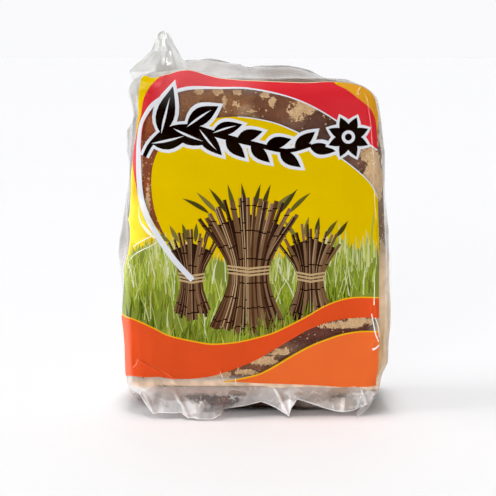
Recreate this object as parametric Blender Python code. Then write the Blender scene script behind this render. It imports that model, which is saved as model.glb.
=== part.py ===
"""Square panela: one block of set cane sugar, shut in a clear film bag that stands on its short side.

The sealed bag with its block is one solid. Its body is the block under tight film, a rounded
slab that is widest near its foot, and the spare film is fused to it: the folds down the left
side, the crumpled ear and the end seam on top, and the end seam that hangs before the foot.

Frame: metres, +Z up, the front faces -Y, and the origin is the middle of the flat foot.
"""

import math

import bmesh
import bpy
from mathutils import Vector

MM = 0.001

# The body: the block with the film drawn tight round it.
BODY_HEIGHT = 117 * MM
WIDEST_HALF = 46.5 * MM
WIDEST_AT = 36 * MM
TOP_HALF = 41.8 * MM
NARROWING_POWER = 1.6
FOOT_NARROWING = 1.2 * MM
FOOT_HALF_DEPTH = 19.5 * MM
TOP_HALF_DEPTH = 18.5 * MM
FOOT_EDGE_R = 4 * MM
TOP_EDGE_R = 6 * MM
CORNER_R = 6 * MM
CORNER_CLOSING = 0.6
LEAST_CORNER_R = 1.5 * MM
FACE_CROWN = 0.7 * MM

# The top back corners are worn round: how far they drop, and where the wear starts.
FOOT_WORN_RISE = 6.5 * MM
FOOT_WORN_FROM = 30 * MM
FOOT_WORN_TO = 43 * MM
FOOT_WORN_BACK = -3 * MM
FOOT_WORN_FRONT = -18 * MM
FOOT_WORN_UP = 20 * MM
RIGHT_FOOT_DRAW = 2.2 * MM
WORN_CORNER_DROP = 9 * MM
WORN_OUT_FROM = 14 * MM
WORN_BACK_FROM = -19 * MM
WORN_UP_FROM = 85 * MM

# How finely the body is drawn.
CORNER_STEPS = 5
FRONT_STEPS = 10
SIDE_STEPS = 4
EDGE_LEVELS = 5
WALL_LEVELS = 12
LID_LEVELS = 4
FOOT_LEVELS = 4

# The spare film, crumpled into sheets that read about this thick.
FILM_THICK = 1.2 * MM
SHEET_ROOT = 4 * MM
CREASE_LENGTH = 6.5 * MM
SIDE_CREASE_LENGTH = 19.5 * MM
CREASE_HEIGHT = 0.9 * MM

FILM_COLOUR = (0.62, 0.40, 0.22, 1.0)

# Left side folds: how far the film stands out from the body at each height.
SIDE_FOLDS = (
    (20, 0.0), (37, 1.6), (53, 3.2), (59, 3.5), (72, 1.8), (84, 0.8),
    (91, 3.6), (100, 3.9), (106, 0.8), (111, 1.6), (117, 4.2),
)

# Ear on the top left corner: left edge and right edge at each height.
EAR_ROWS = (
    (106, -41.0, -20.0), (112, -42.5, -20.0), (117.5, -46.0, -21.5), (121, -43.0, -24.0),
    (125, -38.4, -27.2), (128.5, -36.6, -29.6), (131.5, -35.6, -31.2), (134, -34.6, -32.4),
)
EAR_COLUMNS = 8
EAR_Y = -1 * MM
EAR_FOLD = 2.6 * MM
EAR_FOLDS = 1.5
EAR_TWIST = 0.1
EAR_LEAST_FOLD = 0.25

# End seam on top, folded to the back: where its edge ends, along X.
TOP_SEAM_EDGE = (
    (-33, 3.4), (-26, 5.8), (-19, 4.5), (-9, 2.6), (2, 1.5), (12, 1.4), (20, 0.8), (27, 0.4),
)
TOP_SEAM_Y = 12 * MM
TOP_SEAM_LEAN = 4.5 * MM

# Lap seam down the middle of the back.
BACK_SEAM_WIDTH = 11 * MM
BACK_SEAM_ENDS = (9 * MM, 106 * MM)
BACK_SEAM_ROWS = 12

# End seam before the foot: how far down and how far forward its hem ends, along X.
FOOT_SEAM_TOP = 9.5 * MM
FOOT_SEAM_HEM = (
    (-40, 6.5, 1.5), (-37, 2.0, 6.5), (-34, 1.0, 9.0), (-26, 0.9, 9.5), (-19, 0.7, 11.0),
    (-14.5, 0.7, 11.5), (-11, 2.2, 8.0), (-4, 3.4, 5.5), (3, 4.0, 4.0), (8, 1.6, 5.0),
    (11, 0.8, 6.5), (13, 4.0, 4.5), (20, 2.6, 4.5), (28, 1.2, 4.5), (34, 1.4, 4.5),
    (38, 2.8, 3.2), (41.5, 5.0, 1.6),
)
FOOT_SEAM_FLARE = 0.7
SEAM_ROWS = 4


def between(value, low, high):
    """0 below low, 1 above high and a smooth step in between."""
    t = min(max((value - low) / (high - low), 0.0), 1.0)
    return t * t * (3 - 2 * t)


def along_table(table, position):
    """The table's second value at a position, both in millimetres, in metres."""
    place = position / MM
    for (a, first), (b, second) in zip(table, table[1:]):
        if place <= b:
            share = min(max((place - a) / (b - a), 0.0), 1.0)
            return (first + (second - first) * share) * MM
    return table[-1][1] * MM


def zigzag(value):
    """A triangle wave between -1 and 1, which folds film into flat facets."""
    return 4 * abs(value - math.floor(value + 0.5)) - 1


def half_width(z):
    """Half of the body's width: widest near the foot, drawn in a little towards both ends."""
    above = max(0.0, z - WIDEST_AT) / (BODY_HEIGHT - WIDEST_AT)
    below = max(0.0, WIDEST_AT - z) / WIDEST_AT
    return WIDEST_HALF - (WIDEST_HALF - TOP_HALF) * above**NARROWING_POWER - FOOT_NARROWING * below**2


def half_depth(z):
    return FOOT_HALF_DEPTH + (TOP_HALF_DEPTH - FOOT_HALF_DEPTH) * z / BODY_HEIGHT


def worn(point):
    """The top back corners sit lower, the front foot corners are worn off, and the right side draws in."""
    out = between(abs(point.x), WORN_OUT_FROM, WIDEST_HALF)
    back = between(point.y, WORN_BACK_FROM, TOP_HALF_DEPTH)
    high = between(point.z, WORN_UP_FROM, BODY_HEIGHT)
    foot = between(abs(point.x), FOOT_WORN_FROM, FOOT_WORN_TO)
    front = between(point.y, FOOT_WORN_BACK, FOOT_WORN_FRONT)
    low = between(point.z, FOOT_WORN_UP, 0.0)
    drawn = between(point.x, FOOT_WORN_FROM, WIDEST_HALF) * between(point.z, FOOT_WORN_UP, 0.0)
    rise = FOOT_WORN_RISE * foot * front * low - WORN_CORNER_DROP * out * back * high
    return Vector((point.x - RIGHT_FOOT_DRAW * drawn, point.y, point.z + rise))


def ring(z, inset, shrink=1.0):
    """One level of the body: a rounded rectangle with a slightly crowned front and back."""
    half_x = (half_width(z) - inset) * shrink
    half_y = (half_depth(z) - inset) * shrink
    radius = max(CORNER_R - CORNER_CLOSING * inset, LEAST_CORNER_R) * shrink
    crown = FACE_CROWN * math.sin(math.pi * min(max(z / BODY_HEIGHT, 0.0), 1.0))
    flat = half_x - radius
    points = []
    for corner, turn in enumerate((-90, 0, 90, 180)):
        centre = Vector((
            flat if corner in (0, 1) else -flat,
            (half_y - radius) * (-1 if corner in (0, 3) else 1),
        ))
        for step in range(CORNER_STEPS + 1):
            angle = math.radians(turn + 90 * step / CORNER_STEPS)
            points.append(centre + radius * Vector((math.cos(angle), math.sin(angle))))
        start = points[-1]
        steps = SIDE_STEPS if corner in (0, 2) else FRONT_STEPS
        end_x = start.x if corner in (0, 2) else -start.x
        end_y = start.y if corner in (1, 3) else -start.y
        for step in range(1, steps):
            share = step / steps
            x = start.x + (end_x - start.x) * share
            y = start.y + (end_y - start.y) * share
            if corner in (1, 3):
                y += math.copysign(crown * math.sin(math.pi * share), y)
            points.append(Vector((x, y)))
    return [worn(Vector((point.x, point.y, z))) for point in points]


def body_levels():
    """(height, inset, shrink) of every level, from the middle of the foot to the middle of the lid."""
    levels = []
    for step in range(FOOT_LEVELS - 1, 0, -1):
        levels.append((0.0, FOOT_EDGE_R, 1 - step / FOOT_LEVELS))
    for step in range(EDGE_LEVELS + 1):
        angle = math.radians(90 * (1 - step / EDGE_LEVELS))
        levels.append((FOOT_EDGE_R * (1 - math.sin(angle)), FOOT_EDGE_R * (1 - math.cos(angle)), 1.0))
    wall = BODY_HEIGHT - FOOT_EDGE_R - TOP_EDGE_R
    for step in range(1, WALL_LEVELS):
        levels.append((FOOT_EDGE_R + wall * step / WALL_LEVELS, 0.0, 1.0))
    for step in range(EDGE_LEVELS + 1):
        angle = math.radians(90 * step / EDGE_LEVELS)
        height = BODY_HEIGHT - TOP_EDGE_R * (1 - math.sin(angle))
        levels.append((height, TOP_EDGE_R * (1 - math.cos(angle)), 1.0))
    for step in range(1, LID_LEVELS):
        levels.append((BODY_HEIGHT, TOP_EDGE_R, 1 - step / LID_LEVELS))
    return levels


def new_object(name, mesh_maker):
    """An object whose mesh is filled by mesh_maker through bmesh."""
    mesh = bpy.data.meshes.new(name)
    bm = bmesh.new()
    mesh_maker(bm)
    bmesh.ops.recalc_face_normals(bm, faces=bm.faces)
    bm.to_mesh(mesh)
    bm.free()
    obj = bpy.data.objects.new(name, mesh)
    bpy.context.scene.collection.objects.link(obj)
    return obj


def make_body(name):
    def fill(bm):
        rings = [[bm.verts.new(p) for p in ring(*level)] for level in body_levels()]
        for lower, upper in zip(rings, rings[1:]):
            bmesh.ops.bridge_loops(bm, edges=closed_edges(bm, lower) + closed_edges(bm, upper))
        bm.faces.new(rings[0])
        bm.faces.new(rings[-1])

    return new_object(name, fill)


def closed_edges(bm, loop):
    edges = []
    for first, second in zip(loop, loop[1:] + loop[:1]):
        edges.append(bm.edges.get((first, second)) or bm.edges.new((first, second)))
    return edges


def make_sheet(name, rows):
    """A sheet of crumpled film from rows of points, thickened to both sides."""

    def fill(bm):
        grid = [[bm.verts.new(point) for point in row] for row in rows]
        for low, high in zip(grid, grid[1:]):
            for i in range(len(low) - 1):
                bm.faces.new((low[i], low[i + 1], high[i + 1], high[i]))

    sheet = new_object(name, fill)
    thick = sheet.modifiers.new("film thickness", "SOLIDIFY")
    thick.thickness = FILM_THICK
    thick.offset = 0
    return sheet


def side_fold_rows():
    """Three columns of points out of the left side, where the side gusset bulges in flaps."""
    rows = []
    for height, out in SIDE_FOLDS:
        z = height * MM
        edge = -half_width(z)
        lean = CREASE_HEIGHT * zigzag(z / SIDE_CREASE_LENGTH)
        rows.append([
            Vector((edge + SHEET_ROOT, 0, z)),
            Vector((edge - 0.5 * out * MM, lean, z)),
            Vector((edge - out * MM, 2 * lean, z)),
        ])
    return rows


def ear_rows():
    """Rows of points that fold to and fro and narrow to the ear's tip."""
    rows = []
    tip = EAR_ROWS[-1][0]
    for level, (height, left, right) in enumerate(EAR_ROWS):
        row = []
        for column in range(EAR_COLUMNS + 1):
            share = column / EAR_COLUMNS
            x = (left + (right - left) * share) * MM
            room = min(1.0, (tip - height) / (tip - BODY_HEIGHT / MM) + EAR_LEAST_FOLD)
            fold = EAR_FOLD * room * zigzag(EAR_FOLDS * share + EAR_TWIST * level)
            row.append(Vector((x, EAR_Y + fold, height * MM)))
        rows.append(row)
    return rows


def top_seam_rows():
    """Rows of points up and back out of the lid, along the folded end seal."""
    rows = []
    for step in range(SEAM_ROWS + 1):
        share = step / SEAM_ROWS
        row = []
        for place, rise in TOP_SEAM_EDGE:
            x = place * MM
            crest = worn(Vector((x, TOP_SEAM_Y, BODY_HEIGHT))).z
            z = crest + (rise * MM + SHEET_ROOT) * share - SHEET_ROOT
            fold = CREASE_HEIGHT * zigzag(x / CREASE_LENGTH) * share
            row.append(Vector((x, TOP_SEAM_Y + TOP_SEAM_LEAN * share + fold, z)))
        rows.append(row)
    return rows


def back_seam_rows():
    """Rows of points up the back, where the film's two edges lap over each other."""
    rows = []
    low, high = BACK_SEAM_ENDS
    for step in range(BACK_SEAM_ROWS + 1):
        z = low + (high - low) * step / BACK_SEAM_ROWS
        back = half_depth(z) + FACE_CROWN * math.sin(math.pi * z / BODY_HEIGHT)
        rows.append([Vector((side * BACK_SEAM_WIDTH / 2, back, z)) for side in (-1, 0, 1)])
    return rows


def foot_seam_rows():
    """Rows from a root inside the body, out through its front and down to the ragged hem."""
    rows = []
    root = -half_depth(0) + SHEET_ROOT
    for step in range(SEAM_ROWS + 1):
        share = step / SEAM_ROWS
        row = []
        for place, low, forward in FOOT_SEAM_HEM:
            z = FOOT_SEAM_TOP + (low * MM - FOOT_SEAM_TOP) * share
            y = root - (SHEET_ROOT + forward * MM) * share**FOOT_SEAM_FLARE
            row.append(Vector((place * MM, y, z)))
        rows.append(row)
    return rows


def film_material():
    """Brown sugar behind clear film, as one plain colour with the film's gloss."""
    material = bpy.data.materials.new("panela in clear film")
    material.use_nodes = True
    shader = material.node_tree.nodes["Principled BSDF"]
    shader.inputs["Base Color"].default_value = FILM_COLOUR
    shader.inputs["Roughness"].default_value = 0.25
    shader.inputs["Metallic"].default_value = 0.0
    return material


def fuse(body, sheets):
    """One solid: the sheets are joined to the body, and only the body stays."""
    spare = bpy.data.collections.new("spare film")
    bpy.context.scene.collection.children.link(spare)
    for sheet in sheets:
        bpy.context.scene.collection.objects.unlink(sheet)
        spare.objects.link(sheet)
    union = body.modifiers.new("fused film", "BOOLEAN")
    union.operation = "UNION"
    union.operand_type = "COLLECTION"
    union.collection = spare
    bpy.context.view_layer.objects.active = body
    bpy.ops.object.modifier_apply(modifier=union.name)
    for sheet in list(spare.objects):
        bpy.data.objects.remove(sheet)
    bpy.data.collections.remove(spare)


def main():
    for obj in list(bpy.data.objects):
        bpy.data.objects.remove(obj)
    bag = make_body("sealed_bag")
    sheets = [
        make_sheet("side_folds", side_fold_rows()),
        make_sheet("top_ear", ear_rows()),
        make_sheet("top_seam", top_seam_rows()),
        make_sheet("back_seam", back_seam_rows()),
        make_sheet("foot_seam", foot_seam_rows()),
    ]
    fuse(bag, sheets)
    bag.data.materials.append(film_material())
    bag.data.shade_smooth()
    bag.data.set_sharp_from_angle(angle=math.radians(35))


main()
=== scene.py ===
# %% [markdown]
# # A block of panela in its clear bag
# Panela is cane juice that was boiled down, poured into a mould and left to set into a hard brown block.
# This one is shut in a clear film bag with a printed front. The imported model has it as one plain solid,
# and this file replaces that solid with what the eye meets: the sugar block, the print and the clear film.
# The model is loaded first, because every size below has to agree with it.

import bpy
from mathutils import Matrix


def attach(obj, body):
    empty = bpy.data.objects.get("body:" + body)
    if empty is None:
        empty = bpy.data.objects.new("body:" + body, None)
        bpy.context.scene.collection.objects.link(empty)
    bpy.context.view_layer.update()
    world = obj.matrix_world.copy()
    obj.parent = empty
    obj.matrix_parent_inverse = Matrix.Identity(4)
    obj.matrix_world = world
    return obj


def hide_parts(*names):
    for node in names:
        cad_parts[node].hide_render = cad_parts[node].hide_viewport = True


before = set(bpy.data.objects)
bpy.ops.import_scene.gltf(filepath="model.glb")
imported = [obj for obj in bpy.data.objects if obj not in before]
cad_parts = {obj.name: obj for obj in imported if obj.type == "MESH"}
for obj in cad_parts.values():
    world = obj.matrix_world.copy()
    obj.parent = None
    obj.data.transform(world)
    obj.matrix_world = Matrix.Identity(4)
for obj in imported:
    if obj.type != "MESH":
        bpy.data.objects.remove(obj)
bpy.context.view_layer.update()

# %% [markdown]
# ## Sizes of the block
# The film is drawn tight, so block and bag share one shape: a rounded slab, widest near its foot. A block
# of set sugar is soft enough to wear: its top back corners are rubbed round, its front corners are broken
# off at the foot, and its right side is drawn in there. The sizes repeat the ones that the solid was made
# from, in millimetres, because print and film are easier to think of in millimetres. One factor turns
# them to metres at the end.

# %% Sizes in millimetres
import math
import random

import bmesh
import bpy
import numpy as np
from mathutils import Vector, noise
from mathutils.geometry import delaunay_2d_cdt

MM = 0.001

HEIGHT = 117.0
WIDEST_HALF, WIDEST_AT, TOP_HALF, FOOT_NARROWING = 46.5, 36.0, 41.8, 1.2
FOOT_HALF_DEPTH, TOP_HALF_DEPTH = 19.5, 18.5
FOOT_EDGE_R, TOP_EDGE_R, CORNER_R = 4.0, 6.0, 6.0
FACE_CROWN = 0.7
WORN_DROP = 9.0
FOOT_RISE, FOOT_DRAW = 6.5, 2.2
TOP_RIGHT_DROP, TOP_RIGHT_DRAW = 1.8, 0.9


def between(value, low, high):
    """0 below low, 1 above high and a smooth step in between; low may be the larger one."""
    t = min(max((value - low) / (high - low), 0.0), 1.0)
    return t * t * (3 - 2 * t)


def half_width(z):
    """Half the block's width at a height: widest at WIDEST_AT, and narrower above and below it."""
    above = max(0.0, z - WIDEST_AT) / (HEIGHT - WIDEST_AT)
    below = max(0.0, WIDEST_AT - z) / WIDEST_AT
    return WIDEST_HALF - (WIDEST_HALF - TOP_HALF) * above**1.6 - FOOT_NARROWING * below**2


def half_depth(z):
    """Half the block's depth at a height."""
    return FOOT_HALF_DEPTH + (TOP_HALF_DEPTH - FOOT_HALF_DEPTH) * z / HEIGHT


block_size = (2 * WIDEST_HALF, 2 * FOOT_HALF_DEPTH, HEIGHT)
print("The block is %.0f mm wide, %.0f mm deep and %.0f mm high" % block_size)

# %% [markdown]
# ## A map of the bag's skin
# A print is flat before it is wrapped, so each place on the skin gets two numbers, as on a flat sheet:
# s runs round the bag from the middle of the front, and t runs up it and over its rounded edges. One
# function turns them into a point and the direction that faces out, and a second one wears the corners.
# Everything that lies on the skin uses both, so block, print and film fit each other however the shape is
# tuned.

# %% From sheet to skin
TOP_T = HEIGHT - TOP_EDGE_R + TOP_EDGE_R * math.pi / 2
FOOT_T = FOOT_EDGE_R - FOOT_EDGE_R * math.pi / 2


def level(t):
    """Height, inset and lean of the skin at t mm up the sheet."""
    if t > HEIGHT - TOP_EDGE_R:
        lean = min((t - HEIGHT + TOP_EDGE_R) / TOP_EDGE_R, math.pi / 2)
        return HEIGHT - TOP_EDGE_R * (1 - math.sin(lean)), TOP_EDGE_R * (1 - math.cos(lean)), lean
    if t < FOOT_EDGE_R:
        lean = min((FOOT_EDGE_R - t) / FOOT_EDGE_R, math.pi / 2)
        return FOOT_EDGE_R * (1 - math.sin(lean)), FOOT_EDGE_R * (1 - math.cos(lean)), -lean
    return t, 0.0, 0.0


def ring_sizes(t):
    """Half width, half depth and corner radius of the skin's ring at t, with its height and lean."""
    z, inset, lean = level(t)
    radius = max(CORNER_R - 0.6 * inset, 1.5)
    return half_width(z) - inset, half_depth(z) - inset, radius, z, lean


def half_round(t):
    """The way from the middle of the front to the middle of the back, in mm."""
    half_x, half_y, radius, _, _ = ring_sizes(t)
    return 2 * (half_x - radius) + 2 * (half_y - radius) + math.pi * radius


print("The sheet wraps %.0f mm round the bag's middle" % (2 * half_round(HEIGHT / 2)))

# %% A point of the skin
def skin(s, t):
    """The tight skin's point and outward direction, and its share of the way along the side, or -1."""
    half_x, half_y, radius, z, lean = ring_sizes(t)
    flat_x, flat_y, turn = half_x - radius, half_y - radius, radius * math.pi / 2
    way = abs(s)
    side_share = -1.0
    crown = FACE_CROWN * math.sin(math.pi * min(max(z / HEIGHT, 0.0), 1.0))
    if way <= flat_x:
        x, y, out = way, -half_y - crown * math.cos(math.pi * way / (2 * flat_x)), (0, -1)
    elif way <= flat_x + turn:
        angle = (way - flat_x) / radius
        out = (math.sin(angle), -math.cos(angle))
        x, y = flat_x + radius * out[0], -flat_y + radius * out[1]
    elif way <= flat_x + turn + 2 * flat_y:
        side_share = (way - flat_x - turn) / (2 * flat_y)
        x, y, out = half_x, -flat_y + 2 * flat_y * side_share, (1, 0)
    elif way <= flat_x + 2 * turn + 2 * flat_y:
        angle = (way - flat_x - turn - 2 * flat_y) / radius
        out = (math.cos(angle), math.sin(angle))
        x, y = flat_x + radius * out[0], flat_y + radius * out[1]
    else:
        x = max(2 * (flat_x + turn + flat_y) - way, 0.0)
        y, out = half_y + crown * math.cos(math.pi * x / (2 * flat_x)), (0, 1)
    mirror = math.copysign(1, s)
    across = Vector((mirror * out[0], out[1], 0))
    normal = across * math.cos(lean) + Vector((0, 0, math.sin(lean)))
    return Vector((mirror * x, y, z)), normal, side_share


print("The middle of the front lies at", [round(c, 1) for c in skin(0, HEIGHT / 2)[0]])

# %% Worn corners
def worn(point):
    """Moves a point of the skin to where wear has left it, at the corners and at the foot on the right."""
    out = between(abs(point.x), 14, WIDEST_HALF)
    back = between(point.y, -19, TOP_HALF_DEPTH)
    high = between(point.z, 85, HEIGHT)
    foot = between(abs(point.x), 30, 43) * between(point.y, -3, -18) * between(point.z, 20, 0)
    drawn = between(point.x, 30, WIDEST_HALF) * between(point.z, 20, 0)
    top_right = between(point.x, 29, 43) * between(point.z, 101, HEIGHT)
    rise = FOOT_RISE * foot - WORN_DROP * out * back * high - TOP_RIGHT_DROP * top_right
    draw = FOOT_DRAW * drawn + TOP_RIGHT_DRAW * top_right
    return Vector((point.x - draw, point.y, point.z + rise))


print("The top back corner wears down to %.0f mm" % worn(Vector((WIDEST_HALF, TOP_HALF_DEPTH, HEIGHT))).z)

# %% [markdown]
# ## How the film crumples
# Clear film never lies like paint. It is drawn tight over the flat front and slack over the edges, where
# it buckles into soft waves cut by sharp little ridges. Perlin noise gives the waves, and the absolute
# value of the same noise gives ridges with a crease in them. A few creases catch the light at places that
# matter, so they are laid one by one. The film also stands off the block as a fold down the left side,
# rises to a crest over the lid, and is pulled up towards the ear at the top left.

# %% Creases and folds, laid one by one
# Where each crease starts and ends on the sheet, with its height and half width.
CREASES = (
    (-44.5, 59.0, -36.3, 63.0, 0.5, 0.5), (-44.5, 54.5, -34.6, 61.2, 0.55, 0.5),
    (-40.5, 69.5, -35.5, 65.0, 0.6, 1.2), (-45.0, 47.0, -39.5, 41.0, 0.35, 0.6),
    (-43.6, 26.0, -44.6, 13.5, 0.4, 0.5), (-42.5, 19.0, -33.0, 13.5, 0.4, 0.4),
    (-37.5, 33.0, -37.0, 15.0, 0.3, 2.2), (-30.0, 30.0, -31.5, 14.0, 0.25, 2.6),
    (41.0, 68.0, 41.2, 41.0, 0.4, 0.5), (40.2, 43.5, 43.2, 26.0, 0.45, 0.5),
    (39.4, 40.0, 43.0, 22.0, 0.35, 0.45), (42.5, 27.0, 39.0, 22.5, 0.35, 0.45),
    (36.0, 116.5, 34.0, 111.5, 0.4, 0.45), (41.8, 107.5, 42.2, 99.0, 0.3, 0.5),
    (-12.6, 16.0, -12.9, 10.5, 0.35, 0.4), (-39.0, 113.5, -33.5, 119.0, 0.5, 0.7),
    (-33.0, 112.0, -30.5, 118.0, 0.4, 0.7), (-46.0, 70.0, -42.5, 64.0, 0.4, 0.6),
    (-31.0, 13.6, -27.0, 9.0, 0.4, 0.5),
)
# How far the fold down the left side stands out at each height.
SIDE_FOLDS = (
    (20, 0.0), (37, 1.6), (53, 3.2), (59, 3.5), (72, 1.8), (84, 0.8), (91, 3.0), (100, 3.4), (106, 0.8),
    (111, 1.6), (117, 4.2), (122, 4.2),
)
# How far the film's crest stands above the block's top, along x.
LID_CREST = (
    (-42, 3.2), (-36, 5.2), (-31, 6.6), (-26, 7.0), (-18.7, 6.2), (-16.2, 5.5), (-11.5, 4.8), (-6.2, 4.0),
    (-2.6, 2.8), (1.7, 3.2), (11.7, 3.2), (18.9, 1.7), (26, 0.2), (42, 0.1),
)

print(len(CREASES), "creases are laid by hand")

# %% Waves and ridges
def along_table(table, place):
    """The table's second value at a place, on straight lines between its rows."""
    for (a, first), (b, second) in zip(table, table[1:]):
        if place <= b:
            return first + (second - first) * min(max((place - a) / (b - a), 0.0), 1.0)
    return table[-1][1]


def perlin(x, y, z):
    """Smooth noise at a place, from about -1 to 1, which changes over a distance of about 1."""
    return noise.noise(Vector((x, y, z)))


def slack(p):
    """How loose the film is at a point: little on the faces, full over the edges, sides and lid."""
    side = between(abs(p.x), 39, 47)
    lid = between(p.z, 110, 117) * between(p.y, -17.5, -12)
    foot = between(p.z, 10, 3)
    return 0.1 + 0.9 * max(side, 0.22 * lid, 0.6 * foot)


def ruffle(p):
    """Height of the crumpled film over its tight shape at a point, in mm."""
    across = p.y / (14 + 46 * between(p.z, 111, 117))
    waves = perlin(p.x / 19, across, p.z / 27)
    ridges = abs(perlin(p.x / 12 + 9, across, p.z / 17))
    fine = abs(perlin(p.x / 5 + 4, across * 1.5, p.z / 9))
    return slack(p) * (0.6 * waves + 0.45 - 1.2 * ridges - 0.12 * fine)


print("Film height over the front's middle: %.2f mm" % ruffle(skin(0, 60)[0]))

# %% Where the film is
def crease_height(s, t):
    """Height that the hand-laid creases add at a place on the sheet."""
    height = 0.0
    for s0, t0, s1, t1, rise, width in CREASES:
        run_s, run_t = s1 - s0, t1 - t0
        length = math.hypot(run_s, run_t)
        along = ((s - s0) * run_s + (t - t0) * run_t) / length**2
        if -0.2 < along < 1.2:
            off = abs((s - s0) * run_t - (t - t0) * run_s) / length
            ends = between(along, -0.1, 0.25) * between(along, 1.1, 0.75)
            height += rise * ends * math.exp(-((off / width) ** 1.5))
    return height


def ear_pull(p):
    """The lift and the shift to the left of the film that the ear draws up, and the lid's crest."""
    front = between(p.y, 12, -16)
    reach = 16 if p.x < -25 else 8
    lift = 3.6 * math.exp(-(((p.x + 25) / reach) ** 2)) * between(p.z, 103, 117) * front
    shift = 3.0 * between(p.x, -30, -39) * between(p.z, 104, 116) * between(p.y, 6, -12)
    crest = (along_table(LID_CREST, p.x) * between(p.y, -14, 3) * between(p.y, 19, 7)
             * between(p.z, 108, 117))
    return Vector((-shift, 0, max(lift, crest)))


def film_point(s, t):
    """Where the film is, in mm, at s and t on the sheet."""
    base, normal, side_share = skin(s, t)
    p = worn(base)
    p = p + normal * (ruffle(base) + crease_height(s, t)) + ear_pull(base)
    if s < 0:
        p.x -= 1.0 * between(-base.x, 43, 46) * between(base.z, 70, 30) * between(base.z, 0, 5)
    else:
        p.z -= 0.7 * between(base.x, 22, 32) * between(base.z, 112, 117)
    if s < 0 and side_share >= 0:
        p.x -= along_table(SIDE_FOLDS, base.z) * (1 - abs(2 * side_share - 1))
    p.z = max(p.z, 0.02)
    return p


print("The film's crest over the lid reaches %.0f mm" % (HEIGHT + max(rise for _, rise in LID_CREST)))

# %% [markdown]
# ## Nodes and colours
# Every finish and every Geometry Nodes tree below is a small network. One helper adds a node, sets its
# properties and feeds its inputs, either with a value or from another node. Colours are written as the
# hex values that designers use, and Blender wants linear light, so one function converts them. Another
# gives the colour as a vector, which can be blended into the next.

# %% Helpers
def add_node(tree, kind, feeds=None, **settings):
    """Adds a node; feeds maps an input's name or number to a value or to another node's output."""
    node = tree.nodes.new(kind)
    for name, value in settings.items():
        setattr(node, name, value)
    for key, value in (feeds or {}).items():
        if isinstance(value, bpy.types.NodeSocket):
            tree.links.new(value, node.inputs[key])
        else:
            node.inputs[key].default_value = value
    return node


def linear(hex_colour):
    """Linear red, green, blue and a full alpha for an sRGB hex colour."""
    parts = [int(hex_colour[i:i + 2], 16) / 255 for i in (1, 3, 5)]
    return [c / 12.92 if c <= 0.04045 else ((c + 0.055) / 1.055) ** 2.4 for c in parts] + [1.0]


def tint_of(hex_colour):
    """Linear red, green and blue as a vector."""
    return Vector(linear(hex_colour)[:3])


def link(piece):
    """Puts an object into the scene."""
    bpy.context.scene.collection.objects.link(piece)
    return piece


def new_material(name):
    """An empty node material and its tree."""
    material = bpy.data.materials.new(name)
    material.use_nodes = True
    material.node_tree.nodes.clear()
    return material, material.node_tree


print("Sugar brown in linear light:", [round(c, 3) for c in linear("#7a5138")])

# %% [markdown]
# ## Finish: set cane sugar
# Panela is a glassy mass full of fine crystals. Its skin is a dull brown that shifts from red brown to
# grey brown, and where the block rubbed or dried, a pale tan crust shows in patches with broken edges.
# The patches come from a soft mask painted on the block, broken up by noise until the edge looks chipped.
# Its grain roughens the light, so the block shows no gloss of its own.

# %% Cane sugar
def cane_sugar():
    """Dull crystalline sugar: painted tones of brown, under patches of pale crust with chipped edges."""
    material, tree = new_material("panela, set cane sugar")
    place = add_node(tree, "ShaderNodeTexCoord").outputs["Object"]
    mask = add_node(tree, "ShaderNodeAttribute", attribute_name="crust").outputs["Fac"]
    tone = add_node(tree, "ShaderNodeAttribute", attribute_name="tone").outputs["Color"]
    # The tone drifts every 9 mm, a patch's edge is chipped every 3 mm, and the grain is 0.7 mm.
    broad = add_node(tree, "ShaderNodeTexNoise", {
        "Vector": place, "Scale": 110.0, "Detail": 6.0, "Roughness": 0.65})
    edge = add_node(tree, "ShaderNodeTexNoise", {
        "Vector": place, "Scale": 330.0, "Detail": 5.0, "Roughness": 0.7})
    grain = add_node(tree, "ShaderNodeTexNoise", {"Vector": place, "Scale": 1500.0, "Detail": 2.0})
    cloudy = add_node(tree, "ShaderNodeMapRange", {
        "Value": broad.outputs["Fac"], "From Min": 0.32, "From Max": 0.68, "To Min": 0.68, "To Max": 1.35})
    brown = add_node(tree, "ShaderNodeMix", {"Factor": 1.0, 6: tone, 7: cloudy.outputs[0]},
                     data_type="RGBA", blend_type="MULTIPLY")
    # The mask plus noise about zero: where the sum passes a threshold the crust begins.
    ragged = add_node(tree, "ShaderNodeMath", {0: edge.outputs["Fac"], 1: 1.15, 2: -0.575},
                      operation="MULTIPLY_ADD")
    crumbs = add_node(tree, "ShaderNodeMath", {0: grain.outputs["Fac"], 1: 0.5, 2: ragged.outputs[0]},
                      operation="MULTIPLY_ADD")
    broken = add_node(tree, "ShaderNodeMath", {0: mask, 1: crumbs.outputs[0]}, operation="ADD")
    crust = add_node(tree, "ShaderNodeMapRange", {
        "Value": broken.outputs[0], "From Min": 0.72, "From Max": 0.79})
    tan = add_node(tree, "ShaderNodeMix", {
        "Factor": edge.outputs["Fac"], 6: linear("#b9834a"), 7: linear("#ffe0b0")}, data_type="RGBA")
    colour = add_node(tree, "ShaderNodeMix", {
        "Factor": crust.outputs[0], 6: brown.outputs[2], 7: tan.outputs[2]}, data_type="RGBA")
    speck = add_node(tree, "ShaderNodeMapRange", {
        "Value": grain.outputs["Fac"], "From Min": 0.3, "From Max": 0.75, "To Min": 0.8, "To Max": 1.16})
    shade = add_node(tree, "ShaderNodeMix", {"Factor": 1.0, 6: colour.outputs[2], 7: speck.outputs[0]},
                     data_type="RGBA", blend_type="MULTIPLY")
    bump = add_node(tree, "ShaderNodeBump", {
        "Height": grain.outputs["Fac"], "Strength": 0.5, "Distance": 0.0003})
    shader = add_node(tree, "ShaderNodeBsdfPrincipled", {
        "Base Color": shade.outputs[2], "Normal": bump.outputs["Normal"], "Roughness": 0.62,
        "Specular IOR Level": 0.25})
    add_node(tree, "ShaderNodeOutputMaterial", {"Surface": shader.outputs[0]})
    return material


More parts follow.
